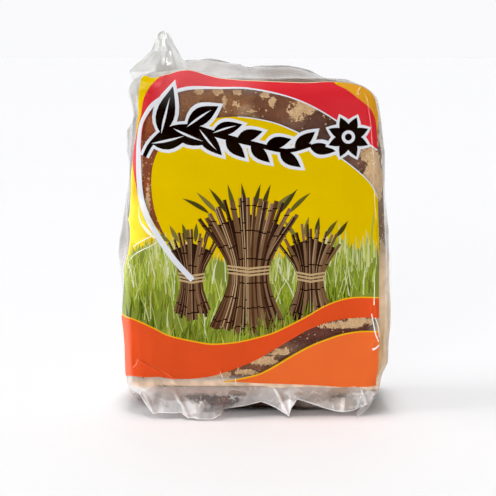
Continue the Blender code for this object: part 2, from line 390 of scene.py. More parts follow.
SUGAR = cane_sugar()
print("Made", SUGAR.name)

# %% [markdown]
# ## Finish: clear polypropylene film
# Bag film is clear cast polypropylene, 0.03 mm thick. It lets most light through and mirrors the room
# more and more as it is seen edge on, so its mirror share grows with the facing angle. It clings to the
# sugar on the front and is nearly invisible there. Where it is folded, rubbed or lies in several layers
# it turns milky, so each point of the mesh says how milky it is and what tint it takes.

# %% Clear film
def clear_film(name, mirror, roughness):
    """Clear film that mirrors at least the given share of light and is milky where it is painted so."""
    material, tree = new_material(name)
    place = add_node(tree, "ShaderNodeTexCoord").outputs["Object"]
    milk = add_node(tree, "ShaderNodeAttribute", attribute_name="milk").outputs["Fac"]
    tint = add_node(tree, "ShaderNodeAttribute", attribute_name="tint").outputs["Color"]
    cloud = add_node(tree, "ShaderNodeTexNoise", {"Vector": place, "Scale": 110.0, "Detail": 2.0})
    patchy = add_node(tree, "ShaderNodeMapRange", {
        "Value": cloud.outputs["Fac"], "From Min": 0.3, "From Max": 0.7, "To Min": 0.7, "To Max": 1.3})
    amount = add_node(tree, "ShaderNodeMath", {0: patchy.outputs[0], 1: milk},
                      operation="MULTIPLY", use_clamp=True)
    through = add_node(tree, "ShaderNodeBsdfTransparent", {"Color": linear("#fcfcfc")})
    scatter = add_node(tree, "ShaderNodeBsdfDiffuse", {"Color": tint})
    body = add_node(tree, "ShaderNodeMixShader", {
        0: amount.outputs[0], 1: through.outputs[0], 2: scatter.outputs[0]})
    facing = add_node(tree, "ShaderNodeLayerWeight", {"Blend": 0.5})
    rise = add_node(tree, "ShaderNodeMath", {0: facing.outputs["Facing"], 1: 4.0}, operation="POWER")
    share = add_node(tree, "ShaderNodeMapRange", {
        "Value": rise.outputs[0], "To Min": mirror, "To Max": 0.9})
    gloss = add_node(tree, "ShaderNodeBsdfGlossy", {"Color": (1, 1, 1, 1), "Roughness": roughness})
    film = add_node(tree, "ShaderNodeMixShader", {
        0: share.outputs[0], 1: body.outputs[0], 2: gloss.outputs[0]})
    add_node(tree, "ShaderNodeOutputMaterial", {"Surface": film.outputs[0]})
    return material


FILM = clear_film("clear cast polypropylene film", 0.01, 0.1)
SEALED_FILM = clear_film("crimped polypropylene film, layered", 0.06, 0.15)
print("Made", FILM.name, "and", SEALED_FILM.name)

# %% [markdown]
# ## Finish: printed film
# The front is printed in flat inks on the inside of the film, so the gloss lies over the colour. Each
# patch of ink carries its own colour on the mesh, and one finish reads it. A printing screen breaks the
# ink into dots about 0.3 mm apart; they are drawn at 0.7 mm so that they show at all.

# %% Printed film
def printed_film():
    """Flat ink in the colour that the mesh carries, broken by the printing screen, under a thin gloss."""
    material, tree = new_material("flexographic ink behind polypropylene film")
    place = add_node(tree, "ShaderNodeTexCoord").outputs["Object"]
    ink = add_node(tree, "ShaderNodeAttribute", attribute_name="ink").outputs["Color"]
    dots = add_node(tree, "ShaderNodeTexVoronoi", {"Vector": place, "Scale": 1430.0, "Randomness": 0.25})
    cloud = add_node(tree, "ShaderNodeTexNoise", {"Vector": place, "Scale": 45.0, "Detail": 2.0})
    screen = add_node(tree, "ShaderNodeMapRange", {
        "Value": dots.outputs["Distance"], "From Max": 0.8, "To Min": 0.97, "To Max": 1.05})
    drift = add_node(tree, "ShaderNodeMapRange", {
        "Value": cloud.outputs["Fac"], "From Min": 0.3, "From Max": 0.7, "To Min": 0.95, "To Max": 1.05})
    tone = add_node(tree, "ShaderNodeMath", {0: screen.outputs[0], 1: drift.outputs[0]},
                    operation="MULTIPLY")
    colour = add_node(tree, "ShaderNodeMix", {"Factor": 1.0, 6: ink, 7: tone.outputs[0]},
                      data_type="RGBA", blend_type="MULTIPLY")
    shader = add_node(tree, "ShaderNodeBsdfPrincipled", {
        "Base Color": colour.outputs[2], "Roughness": 0.5, "Specular IOR Level": 0.0,
        "Coat Weight": 0.25, "Coat Roughness": 0.1})
    add_node(tree, "ShaderNodeOutputMaterial", {"Surface": shader.outputs[0]})
    return material


PRINT = printed_film()
print("Made", PRINT.name)

# %% [markdown]
# ## Flat drawing tools
# The print is drawn as cut paper: closed outlines laid one over another, where the last one wins. A
# smooth line needs only the few points that give its shape, and a Catmull-Rom curve rounds it between
# them. A stroke is a line with a width, and a leaf is two arcs that meet in points.

# %% Smooth lines
def smooth(points, step=1.2):
    """A Catmull-Rom curve through the points, with a point about every step mm."""
    ends = [points[0], *points, points[-1]]
    line = []
    for a, b, c, d in zip(ends, ends[1:], ends[2:], ends[3:]):
        count = max(2, round(math.dist(b, c) / step))
        for k in range(count):
            u = k / count
            line.append(tuple(
                0.5 * (2 * q + (r - p) * u + (2 * p - 5 * q + 4 * r - w) * u**2
                       + (3 * q - p - 3 * r + w) * u**3)
                for p, q, r, w in zip(a, b, c, d)))
    return line + [tuple(points[-1])]


print("A line through three points 5 mm apart gets", len(smooth([(0, 0), (5, 0), (10, 0)])), "points")

# %% Strokes and leaves
def stroke(line, widths):
    """The closed outline of a line drawn with a pen whose width runs through the given widths."""
    left, right = [], []
    for i, (x, y) in enumerate(line):
        x0, y0 = line[max(i - 1, 0)]
        x1, y1 = line[min(i + 1, len(line) - 1)]
        run = math.hypot(x1 - x0, y1 - y0)
        place = i / (len(line) - 1) * (len(widths) - 1)
        low = min(int(place), len(widths) - 2)
        half = (widths[low] + (widths[low + 1] - widths[low]) * (place - low)) / 2
        across = (-(y1 - y0) / run * half, (x1 - x0) / run * half)
        left.append((x + across[0], y + across[1]))
        right.append((x - across[0], y - across[1]))
    return left + right[::-1]


def leaf(base, angle, length, width, bend=0.0):
    """A pointed leaf from its base along an angle in degrees; bend moves its tip by a share of length."""
    a = math.radians(angle)
    outline = []
    for side in (1, -1):
        shares = range(0, 9) if side == 1 else range(7, 0, -1)
        for k in shares:
            u = k / 8
            half = side * width / 2 * math.sin(math.pi * u**0.85)
            off = half + bend * length * u**2
            outline.append((base[0] + length * u * math.cos(a) - off * math.sin(a),
                            base[1] + length * u * math.sin(a) + off * math.cos(a)))
    return outline


shapes = []


def lay(ink, outline):
    """Lays a closed outline of ink on the sheet, over what lies there; the ink None is bare film."""
    shapes.append((ink, outline))


print("A leaf has", len(leaf((0, 0), 0, 5, 2)), "points")

# %% [markdown]
# ## The fields of colour
# Yellow covers most of the sheet. A red crescent crosses the top and thins down the left side. Below it
# an arched window is left bare, with a white line along its upper edge that runs on as a broad stroke,
# so that the sugar shows between the red and the yellow dome.

# %% Colours and outlines
YELLOW, RED, WHITE, BLACK = "#e2be00", "#d9343c", "#e2e4ea", "#1a120d"
UPPER_ORANGE, LOWER_ORANGE, EDGE_YELLOW, AMBER = "#e45327", "#f17035", "#f0b41e", "#e0a030"

# The outlines are on the sheet in mm: across it from its middle, and up it from the foot.
LEFT_EDGE = [
    (-48.9, 8.4), (-48.9, 24), (-49, 34), (-48.6, 42), (-47.2, 50), (-46.6, 55), (-45.4, 60), (-45, 66),
    (-45.3, 72), (-45.8, 79), (-45.2, 84), (-43.9, 89), (-42.6, 96), (-42, 102), (-40.7, 107.5),
    (-39, 111), (-37.6, 114), (-37, 116),
]
TOP_EDGE = [
    (-37, 116), (-36, 116.3), (-34.5, 115.3), (-32.5, 115.6), (-30.5, 116), (-27.8, 117.1),
    (-24.5, 117.8), (-20, 118.2), (-15, 118.7), (-10, 118.4), (-5, 117.7), (5, 117), (17, 116.3),
    (26, 117.2), (33.5, 117.6), (37, 117), (39.8, 114.9), (41.7, 111), (42, 105.8), (41.6, 100),
    (41.5, 91), (41.9, 75), (42.3, 55), (42.6, 34), (42.7, 19), (43.5, 9), (44.5, 3),
]
WAVE_TOP = [
    (-49, 34.8), (-46, 34), (-42.2, 32.9), (-36.6, 30.4), (-30.6, 27.5), (-20, 25.1), (-14.5, 24.6),
    (-6, 25.5), (4.4, 28.2), (10, 30.7), (17, 34.3), (23, 37.9), (28.8, 40.2), (34.4, 41.2), (42.5, 41.1),
]
WINDOW_TOP = [
    (-31.8, 62.2), (-34.4, 65), (-37, 69.5), (-38.8, 74), (-39.7, 79), (-40, 85), (-40.1, 91),
    (-40, 96.5), (-39.2, 101.6), (-36.8, 105.6), (-33.2, 108.5), (-28.3, 110.4), (-21.4, 112),
    (-14, 113.6), (-6, 114.1), (0, 113.4), (5.5, 112.3), (11.1, 110.8), (16.8, 108.6), (22.2, 105.8),
    (27, 102.8), (32.4, 99.1), (38.3, 94.8), (41.5, 92.5),
]
DOME_TOP = [
    (-31.8, 62.3), (-33.6, 66), (-35.3, 70.5), (-36.3, 75.4), (-36.7, 80.3), (-36.5, 85), (-35.5, 89.5),
    (-32.8, 94.5), (-26.7, 99.6), (-17.7, 103), (-9.5, 104.1), (-3, 103.8), (4.8, 102.3), (11, 100),
    (19.7, 95.7), (29.2, 89.6), (36.7, 83.6), (39.8, 80), (41.8, 76),
]
RED_LEFT = [
    (-41.3, 75.4), (-42, 79), (-43.2, 83.6), (-43.9, 89), (-42.6, 96), (-41.3, 101.2), (-40.2, 104.6),
    (-39.3, 107), (-37.7, 109.6), (-36, 111.8), (-34.2, 113.9), (-32.6, 115.6),
]
RED_RIGHT = [
    (27.4, 115.6), (30.5, 113.7), (33.3, 111.7), (36.1, 109.9), (38.5, 108), (39.9, 105.8), (40.9, 103),
    (41.4, 98), (41.5, 92.5),
]
# The white stroke turns up beside the dome and then follows the arch of the window to its end.
STROKE = [
    (-22.6, 47.4), (-29, 54.5), (-33.8, 61.5), (-37.8, 68.5), (-40.2, 75.4), (-41, 82.3), (-41.2, 89.2),
    (-41.1, 96), (-40.1, 101.9), (-37.3, 106.1), (-33.5, 108.9), (-28.4, 110.7),
] + WINDOW_TOP[12:]
UPPER_FOOT = [
    (-48.9, 8.4), (-41.5, 9.2), (-37.5, 10.9), (-34.4, 12.1), (-28.5, 12), (-22.7, 12.1), (-16.3, 13),
    (-11.5, 14.4), (-5.8, 16.5), (0.5, 19.4), (11.4, 26), (18.4, 30), (25.4, 32.6), (32.4, 33.8),
    (39.4, 34), (42.5, 33.8),
]
LOWER_TOP = [
    (-11.8, 11.1), (-8.6, 11.5), (0.2, 13.6), (5.8, 16.4), (11.5, 19.9), (18.5, 23.8), (25.4, 26.6),
    (30.3, 28.1), (35.9, 29), (42.4, 29),
]
LOWER_FOOT = [
    (44.5, 3), (41, 3.6), (38, 5.6), (35.5, 7.3), (32.6, 8.7), (20.9, 9.7), (9, 10.2), (0, 10.5),
    (-8, 11),
]
print("The window's arch is drawn from", len(WINDOW_TOP), "points")

# %% Lay the yellow, the red and the window
window_line = smooth(WINDOW_TOP)
dome_line = smooth(DOME_TOP)
wave_line = smooth(WAVE_TOP)
left_edge = smooth(LEFT_EDGE)
top_edge = smooth(TOP_EDGE)
lay(YELLOW, [p for p in left_edge if p[1] > 36] + [p for p in top_edge[1:] if p[1] > 42]
    + wave_line[::-1])
lay(RED, smooth(RED_LEFT) + [p for p in top_edge if -32.4 < p[0] < 27 and p[1] > 100] + smooth(RED_RIGHT)
    + [p for p in window_line if p[1] > 73][::-1])
lay(AMBER, smooth(RED_RIGHT) + [p for p in top_edge if p[0] > 27.4 and p[1] > 92.5][::-1])
lay(None, window_line + dome_line[::-1])
lay(WHITE, stroke([p for p in dome_line if p[0] > -8], [0.3, 0.4, 0.4, 0.3]))
lay("#efdcb4", stroke([p for p in top_edge if -33 < p[0] < 27 and p[1] > 100], [0.15, 0.35, 0.3, 0.2]))
print(len(shapes), "shapes so far")

# %% [markdown]
# ## The printed field of cane
# In the middle of a pack like this there is usually a picture. Here it is a plain one: a meadow of tall
# grass with tied sheaves of cut cane. Each blade and stalk is one small outline, scattered by a rule with
# a fixed seed, so that it looks grown and still comes out the same each time. The blades at the foot of
# the meadow stand in the shade, and those at its top are pale where the sun shines through.

# %% Blades of grass
# From the shade at the meadow's foot to the sunlit tips at its top.
GREENS = (
    ("#3f4d14", "#55651c", "#666f1e"), ("#5f7322", "#768a28", "#6f6c2a"),
    ("#778a24", "#86992c", "#8f9a32"), ("#8aa030", "#9aab36", "#a3a63c"),
    ("#9cae3a", "#aeb84a", "#bdc276"), ("#aab650", "#c0c47c", "#cdd0a4"),
)
MEADOW_TOP = [
    (-46.5, 55), (-41, 59), (-35, 60), (-24, 56), (-10, 54), (6, 55), (18, 57), (25, 60), (30, 61.5),
    (33, 57.5), (36.5, 59), (38.5, 60), (41.9, 57),
]
MEADOW_LEFT, MEADOW_RIGHT = -46, 40.6
RAGGED_POINTS, RAGGED_STEP = 160, 0.55
MEADOW_ROWS, THIN_BLADES = 9, 130
# Where a few tall blades stand on the sheet, and how long they are.
TALL_BLADES = (
    (26, 56, 9), (28.5, 57, 10.5), (30.5, 57, 8), (39.6, 55, 16), (38.6, 52, 12), (37, 55, 8),
    (24, 56, 7), (-38, 54, 9), (-42, 52, 9), (-35, 55, 8),
)
dice = random.Random(7)


def blade(s, foot, length, lean, width, ink):
    """One blade of grass, bent a little further over at its tip."""
    run, bend = length * math.sin(math.radians(lean)), dice.uniform(-0.06, 0.06) * length
    line = [(s, foot), (s + run * 0.4, foot + length * 0.5), (s + run + bend, foot + length)]
    lay(ink, stroke(line, [width, width * 0.8, 0.1]))


def clump(s, foot, size, count, shade):
    """A few blades that fan out from one place, all about as light as one another."""
    for _ in range(count):
        lean = dice.gauss(0, 9)
        near_shade = min(max(shade + dice.choice((-1, 0, 0, 1)), 0), len(GREENS) - 1)
        ink = dice.choice(GREENS[near_shade])
        at = min(max(s + dice.gauss(0, 1.5), MEADOW_LEFT), MEADOW_RIGHT)
        blade(at, foot + dice.uniform(-1, 1), size * dice.uniform(0.7, 1.25), lean,
              dice.uniform(0.35, 0.8), ink)


print(len(GREENS), "rows of greens, from the shade to the sun")

# %% Meadow
ragged_top = []
for k in range(RAGGED_POINTS):
    s = MEADOW_LEFT + RAGGED_STEP * k
    ragged_top.append((s, along_table(MEADOW_TOP, s) + dice.uniform(1, 3.5) * (k % 2) - 0.8))
lay("#7f8c36", ragged_top + [(42.3, 55), (42.4, 42)] + wave_line[::-1])
for row in range(MEADOW_ROWS):
    for _ in range(28 - row):
        s = dice.uniform(-46, 40)
        low, high = along_table(WAVE_TOP, s) - 3, along_table(MEADOW_TOP, s)
        share = 1 - row / (MEADOW_ROWS - 1)
        foot = low + (high - low - 5.0) * share
        shade = round(share * 4.6 + 0.2 + dice.uniform(-0.6, 0.9))
        clump(s, foot, dice.uniform(5.5, 9.5), 5, shade)
for _ in range(THIN_BLADES):
    s = dice.uniform(-45, 40)
    low, high = along_table(WAVE_TOP, s), along_table(MEADOW_TOP, s)
    foot = low + (high - low - 7) * dice.random()
    blade(s, foot, dice.uniform(6, 13), dice.gauss(0, 14), dice.uniform(0.22, 0.42),
          dice.choice(("#b9c474", "#d2d5a6", "#dcdcbe", "#aabb56", "#c2c784")))
for s, foot, length in TALL_BLADES:
    blade(s, foot, length, dice.uniform(-4, 4), 0.9, dice.choice(("#b7b964", "#cdd08a", "#a3b04a")))
print(len(shapes), "shapes with the meadow")

# %% Stalks and sheaves of cane
CANE_INKS = ("#543624", "#62422c", "#38221a", "#735438", "#84664a", "#432a1e", "#2a1a13")
LIT_CANE_INKS = ("#a58a66", "#84664a", "#6b4a32", "#b89c78")
FRONT_CLUMPS = 26
# How wide the white stroke is from its foot to the end of the arch.
STROKE_WIDTHS = (1.9, 2.0, 2.0, 2.1, 2.0, 1.5, 1.1, 0.9, 0.7, 0.6, 0.5, 0.45, 0.45, 0.4)


def cane_stalk(foot, waist, top, width):
    """One stalk: its body, a lit side and the rings where leaves grew."""
    line = smooth([foot, waist, top], 4)
    lay(dice.choice(CANE_INKS), stroke(line, [width, width * 0.9, width * 0.7]))
    lit = [(x - width * 0.2, y) for x, y in line]
    lay(dice.choice(LIT_CANE_INKS), stroke(lit, [width * 0.2, width * 0.14]))
    for k in range(1, len(line) - 1, 2):
        x, y = line[k]
        lay("#22140e", [(x - width / 2, y - 0.22), (x + width / 2, y - 0.22), (x + width / 2, y + 0.22),
                        (x - width / 2, y + 0.22)])


def cane_sheaf(middle, foot, height, spread, count):
    """A tied sheaf: leaves behind, its dark inside, then stalks from the outside in, then the twine."""
    waist_t = foot + 0.45 * height
    for k in range(count // 2):
        share = -1 + 2 * k / (count // 2 - 1)
        base = (middle + spread * 0.8 * share, foot + 0.86 * height)
        lay(dice.choice(("#5d5a24", "#7c7034", "#45401d")),
            leaf(base, 90 - 50 * share + dice.uniform(-12, 12), height * 0.22, 1.6,
                 dice.uniform(-0.2, 0.2)))
    wide, slim = spread * 0.8, spread * 0.34
    lay("#2a1911", [(middle - wide * 0.8, foot + 1.5), (middle + wide * 0.8, foot + 1.5),
                    (middle + slim, waist_t), (middle + wide, foot + 0.76 * height),
                    (middle, foot + 0.86 * height), (middle - wide, foot + 0.76 * height),
                    (middle - slim, waist_t)])
    order = sorted(range(count), key=lambda k: -abs(k - (count - 1) / 2))
    for k in order:
        share = -1 + 2 * k / (count - 1)
        base = (middle + spread * 0.72 * share + dice.uniform(-0.8, 0.8),
                foot + dice.uniform(-1.5, 1.5) + 2 * share**2)
        waist = (middle + spread * 0.36 * share, waist_t)
        top = (middle + spread * share + dice.uniform(-0.8, 0.8),
               foot + height * (1 - 0.16 * share**2) + dice.uniform(-2.0, 1.0))
        cane_stalk(base, waist, top, dice.uniform(1.5, 2.2) * height / 48)
    for step in (-1.0, 0.2, 1.4):
        y = waist_t + step
        x = spread * 0.36 + 1.4
        twine = [(middle - x, y + 0.5), (middle, y - 0.5), (middle + x, y + 0.3)]
        lay("#c0a478", stroke(twine, [0.6, 0.8, 0.6]))


print("A stalk takes one of", len(CANE_INKS), "browns")

# %% Three sheaves, and grass before them
cane_sheaf(-23, 34, 31, 9, 12)
cane_sheaf(18.5, 33, 34, 10.5, 13)
cane_sheaf(-3, 28.5, 49, 17, 21)
for _ in range(FRONT_CLUMPS):
    s = dice.uniform(-33, 32)
    clump(s, along_table(WAVE_TOP, s) - 3, dice.uniform(6, 9), 5, dice.choice((1, 2, 3)))
lay(WHITE, stroke(smooth(STROKE), STROKE_WIDTHS))
print(len(shapes), "shapes with the sheaves")

# %% [markdown]
# ## Waves and black ornaments
# Two orange waves close the sheet at the foot, each with a thin yellow line along its top, and the band
# between them is bare film. Over the arch lies a black garland of cane leaves with a white edge, and a
# rosette closes it on the right. The white edge is the same leaf drawn first, a little larger.

# %% Orange waves
lower_line = smooth(LOWER_TOP)
lay(UPPER_ORANGE, [p for p in left_edge if p[1] < 36] + wave_line + smooth(UPPER_FOOT)[::-1])
lay(EDGE_YELLOW, stroke(wave_line, [0.45, 0.5, 0.5, 0.45]))
lay(LOWER_ORANGE, lower_line + [p for p in top_edge if p[1] < 28] + smooth(LOWER_FOOT)[1:])
lay(EDGE_YELLOW, stroke(lower_line, [0.5, 0.65, 0.6, 0.5]))
print(len(shapes), "shapes with the waves")

# %% Garland
RIM = 1.15
GARLAND = smooth([(-39, 90.5), (-36.5, 95), (-31, 99.5), (-23, 100.5), (-12, 97.5), (0, 94.5),
                  (10, 92.5), (18.5, 94.5)])
LEAF_COUNT = 13
leaves = []
for k in range(LEAF_COUNT):
    share = k / (LEAF_COUNT - 1)
    at = round(4 + (len(GARLAND) - 6) * share)
    (x0, y0), (x1, y1) = GARLAND[at - 1], GARLAND[at + 1]
    heading = math.degrees(math.atan2(y1 - y0, x1 - x0))
    side = 1 if k % 2 else -1
    size = 14.5 - 5.2 * between(share, 0.05, 0.6)
    leaves.append((GARLAND[at], heading + side * (44 - 8 * share), size, size * 0.44, -0.12 * side))
lay(WHITE, stroke(GARLAND, [3.4, 4.2, 3.8, 3.2]))
for base, angle, length, width, bend in leaves:
    a = math.radians(angle)
    back = (base[0] - RIM * math.cos(a), base[1] - RIM * math.sin(a))
    lay(WHITE, leaf(back, angle, length + 2.6 * RIM, width + 2.2 * RIM, bend))
lay(BLACK, stroke(GARLAND, [1.4, 2.2, 1.8, 1.2]))
for base, angle, length, width, bend in leaves:
    lay(BLACK, leaf(base, angle, length, width, bend))
for base, angle, length, width, bend in leaves[:6]:
    lay(WHITE, leaf(base, angle, length * 0.8, width * 0.13, bend * 0.8))
print(len(leaves), "leaves on the garland")

# %% Rosette
ROSETTE, PETALS = (31.2, 97.2), 8
for rim, ink in ((RIM, WHITE), (0.0, BLACK)):
    for k in range(PETALS):
        lay(ink, leaf(ROSETTE, 360 / PETALS * (k + 0.5), 7.4 + rim, 3.6 + 1.8 * rim))
circle = [(math.cos(k * math.pi / 12), math.sin(k * math.pi / 12)) for k in range(24)]
for radius, ink in ((2.3, WHITE), (1.2, BLACK)):
    lay(ink, [(ROSETTE[0] + radius * x, ROSETTE[1] + radius * y) for x, y in circle])
print(len(shapes), "shapes in the whole print")

# %% [markdown]
# ## Painted glints along the creases
# Where printed film is folded hard, the crease catches the light as a thin bright line, and these lines are
# painted on as pale ink: painted highlights. They belong to the creases that were laid above, so they lie
# where those do, and they are drawn as ink, because they are as flat as ink. The last one is a broader
# painted glare: a fold beside the white stroke that catches the light along its length.

# %% Painted glints along the creases
# The colour of each line, its widths from end to end and the points along it.
CREASE_GLINTS = (
    ("#f2ece2", (0.35, 0.25), ((-44.3, 54.6), (-42.5, 56.5), (-39.8, 58.1), (-37, 59.4), (-34.9, 60.8))),
    ("#f2ece2", (0.15, 0.4), ((-43.5, 58.8), (-41.1, 60.6), (-38.5, 62), (-36, 63))),
    ("#f6a583", (0.12, 0.3), ((-42.2, 19), (-42.7, 17), (-44.2, 14.6))),
    ("#f5845c", (0.1, 0.2), ((-42.2, 18.6), (-38, 16.9), (-31.8, 13.6), (-28.5, 11.9))),
    ("#f2e6dc", (0.2, 0.3), ((-13, 14.6), (-12.5, 13), (-12, 11.4))),
    ("#f2e6dc", (0.3, 0.2), ((-7.7, 12.2), (-7.6, 9.8))),
    ("#f4efc8", (0.15, 0.4), ((40.7, 48.5), (40.8, 44), (40.7, 38.5))),
    ("#f8f2ec", (0.3, 0.35), ((39.9, 35.4), (40.6, 32), (41.4, 28), (42.4, 25.4))),
    ("#f8f2ec", (0.25, 0.15), ((41.2, 34), (42.2, 30.6), (42.6, 27))),
    ("#f8f2ec", (0.9, 0.3), ((40.4, 22.6), (41.6, 23.0), (42.7, 24.2))),
    ("#f6e6c0", (0.3, 0.12), ((35.6, 115.8), (34.8, 113.8), (34.2, 112))),
    ("#f4e9a8", (0.1, 0.2), ((41.2, 61), (41.3, 57), (41.2, 53))),
    ("#fbf3c6", (0.1, 0.3, 0.7, 1.3, 0.6),
     ((-41, 73.4), (-41.2, 70.6), (-40.4, 67.6), (-38.6, 65), (-35.6, 62))),
)

for ink, widths, line in CREASE_GLINTS:
    lay(ink, stroke(smooth(line), widths))
print(len(shapes), "shapes on the sheet")

# %% [markdown]
# ## Cutting the sheet
# All outlines and a fine grid of points go into one Delaunay triangulation. It keeps every outline as an
# edge, so each ink ends in a crisp line, and the creases go in as bundles of lines, so that their ridges
# come out sharp. Each triangle then takes the ink of the last outline that goes round its middle.

# %% Cut the flat sheet into triangles
GRID = 0.8
# The front sheet reaches this far round to each side.
WRAP = 52.0
# A crease is a bundle of lines: how far they lie from its middle, in half widths, and their points' step.
CREASE_LINES = (-2.2, -1.2, -0.5, 0.0, 0.5, 1.2, 2.2)
CREASE_STEP = 0.7


def grid_of_points():
    """A regular grid over the front sheet, and the number of its columns and rows."""
    columns, rows = round(2 * WRAP / GRID), round((TOP_T - FOOT_T) / GRID)
    grid = [(-WRAP + 2 * WRAP * c / columns, FOOT_T + (TOP_T - FOOT_T) * r / rows)
            for r in range(rows + 1) for c in range(columns + 1)]
    return grid, columns, rows


def cut_flat_sheet():
    """Points and triangles of the front sheet, with every outline kept as edges."""
    points, columns, rows = grid_of_points()
    stride = columns + 1
    edges = [(first + c, first + c + 1) for first in (0, rows * stride) for c in range(columns)]
    edges += [(first + r * stride, first + (r + 1) * stride) for first in (0, columns) for r in range(rows)]
    for _, outline in shapes:
        start, count = len(points), len(outline)
        points.extend(outline)
        edges += [(start + i, start + (i + 1) % count) for i in range(count)]
    for s0, t0, s1, t1, _, width in CREASES:
        length = math.hypot(s1 - s0, t1 - t0)
        across = ((t1 - t0) / length * width, -(s1 - s0) / length * width)
        steps = round(length / CREASE_STEP)
        for offset in CREASE_LINES:
            start = len(points)
            points.extend((s0 + (s1 - s0) * k / steps + across[0] * offset,
                           t0 + (t1 - t0) * k / steps + across[1] * offset) for k in range(steps + 1))
            edges += [(start + k, start + k + 1) for k in range(steps)]
    flat, _, triangles, _, _, _ = delaunay_2d_cdt([Vector(p) for p in points], edges, [], 0, 1e-4, False)
    return flat, triangles


flat, triangles = cut_flat_sheet()
_, columns, rows = grid_of_points()
print(len(flat), "points and", len(triangles), "triangles")

# %% Ink for each triangle
def inks_of(flat, triangles):
    """The last ink laid on each triangle's middle: an outline holds a point that it winds round."""
    flat = np.array([tuple(p) for p in flat])
    middle = flat[np.array(triangles)].mean(axis=1)
    last = np.full(len(middle), -1)
    for number, (_, outline) in enumerate(shapes):
        corners = np.array(outline)
        low, high = corners.min(axis=0), corners.max(axis=0)
        near = np.flatnonzero(((middle >= low) & (middle <= high)).all(axis=1))
        x, y = middle[near, 0], middle[near, 1]
        turns = np.zeros(len(near), dtype=int)
        for (x0, y0), (x1, y1) in zip(corners, np.roll(corners, -1, axis=0)):
            left_of = (x1 - x0) * (y - y0) - (x - x0) * (y1 - y0)
            turns += (y0 <= y) & (y1 > y) & (left_of > 0)
            turns -= (y0 > y) & (y1 <= y) & (left_of < 0)
        last[near[turns != 0]] = number
    return [shapes[number][0] if number >= 0 else None for number in last]


inks = inks_of(flat, triangles)
print(sum(ink is not None for ink in inks), "triangles are printed")

# %% [markdown]
# ## Wrapping the sheet
# The flat sheet is wrapped on the skin point by point, with the film's waves and creases, and stays one
# surface: no ink floats over another. A plain grid goes on round the back, and rings of points close the
# lid and the foot. Where the gloss would catch the light, over the top edge, at the left edge and on a fold
# beside the white stroke, the ink's colour is lifted a little as a painted glare.

# %% Rings of points
CAP_ROWS = 10


def join_rings(bm, low, high):
    """Faces between two closed rings that have as many points as each other."""
    for i, corner in enumerate(low):
        j = (i + 1) % len(low)
        bm.faces.new((corner, low[j], high[j], high[i]))


def close_ring(bm, ring, hub):
    """Faces from a closed ring to one point in its middle."""
    for i, corner in enumerate(ring):
        bm.faces.new((corner, ring[(i + 1) % len(ring)], hub))


def close_cap(bm, rim_points, rim_tight, centre, lower):
    """Closes an open end of the bag with rings of the tight skin's points that shrink to its middle."""
    ring = [bm.verts.new(p) for p in rim_points]
    for row in range(1, CAP_ROWS):
        share = 1 - row / CAP_ROWS
        inner = [bm.verts.new(lower(centre + (tight - centre) * share)) for tight in rim_tight]
        join_rings(bm, ring, inner)
        ring = inner
    close_ring(bm, ring, bm.verts.new(lower(centre)))


print("A cap has", CAP_ROWS, "rows of faces")

# %% Film and ink at the edges
def lid_film(p):
    """The film over the block's top at a point of the tight lid."""
    return worn(p) + Vector((0, 0, ruffle(p))) + ear_pull(p)


def foot_film(p):
    """The film under the block lies flat on the table, apart from its worn front corners."""
    return Vector((p.x, p.y, max(0.02, worn(p).z + ruffle(p) * 0.3)))


def ink_with_painted_glare(ink, p):
    """The ink's colour with painted glare: paler over the top edge, at the left edge and by the white
    stroke.
    """
    # Painted sheen over the top edge, and painted glare at the left edge and on the fold by the white
    # stroke.
    top = 0.06 * between(p.z, 106, 114) * between(p.x, -38, -30) * between(p.x, 6, -8)
    glare = between(half_width(p.z) + p.x, 2.2, 0.8) * between(p.z, 104, 90)
    fold = between(math.hypot((p.x + 42) / 6, (p.z - 67) / 12), 1.0, 0.4)
    gain, painted_glare_lift = 1 + 0.35 * glare + 0.5 * fold, 0.09 * glare + 0.05 * fold + top
    return [min(c * gain + painted_glare_lift, 0.98) for c in linear(ink)[:3]] + [1.0]


print("Red ink on the flat front:", [round(c, 2) for c in ink_with_painted_glare(RED, Vector((0, -19, 60)))])

# %% Wrap the printed sheet
bag = bmesh.new()
# The ink attribute holds each ink's colour with the painted glare added.
ink_layer = bag.loops.layers.float_color.new("ink")
printed = bag.faces.layers.int.new("printed")
wrapped = [bag.verts.new(film_point(*p)) for p in flat]
for corners, ink in zip(triangles, inks):
    face = bag.faces.new([wrapped[i] for i in corners])
    if ink:
        face[printed] = 1
        for loop in face.loops:
            loop[ink_layer] = ink_with_painted_glare(ink, loop.vert.co)
print(len(bag.faces), "faces on the front")

# %% Close the bag behind, above and below
BACK_COLUMNS = 96
# Points that lie closer together than this are one point.
JOIN_WITHIN = 0.004


def behind(share, t):
    """The place on the sheet at a share of the way round the back, from the right wrap to the left one."""
    s = WRAP + share * (2 * half_round(t) - 2 * WRAP)
    return s if s <= half_round(t) else s - 2 * half_round(t)


levels = [FOOT_T + (TOP_T - FOOT_T) * row / rows for row in range(rows + 1)]
back_grid = [[bag.verts.new(film_point(behind(c / BACK_COLUMNS, t), t)) for c in range(BACK_COLUMNS + 1)]
             for t in levels]
for low, high in zip(back_grid, back_grid[1:]):
    for c in range(BACK_COLUMNS):
        bag.faces.new((low[c], low[c + 1], high[c + 1], high[c]))
for t, lower, height in ((TOP_T, lid_film, HEIGHT), (FOOT_T, foot_film, 0)):
    places = [-WRAP + 2 * WRAP * c / columns for c in range(columns + 1)]
    places += [behind(c / BACK_COLUMNS, t) for c in range(1, BACK_COLUMNS)]
    loose, tight = [film_point(s, t) for s in places], [skin(s, t)[0] for s in places]
    close_cap(bag, loose, tight, Vector((0, 0, height)), lower)
bmesh.ops.remove_doubles(bag, verts=bag.verts, dist=JOIN_WITHIN)
bmesh.ops.recalc_face_normals(bag, faces=bag.faces)
open_edges = sum(edge.is_boundary for edge in bag.edges)
print(len(bag.faces), "faces in the bag, with", open_edges, "open edges")

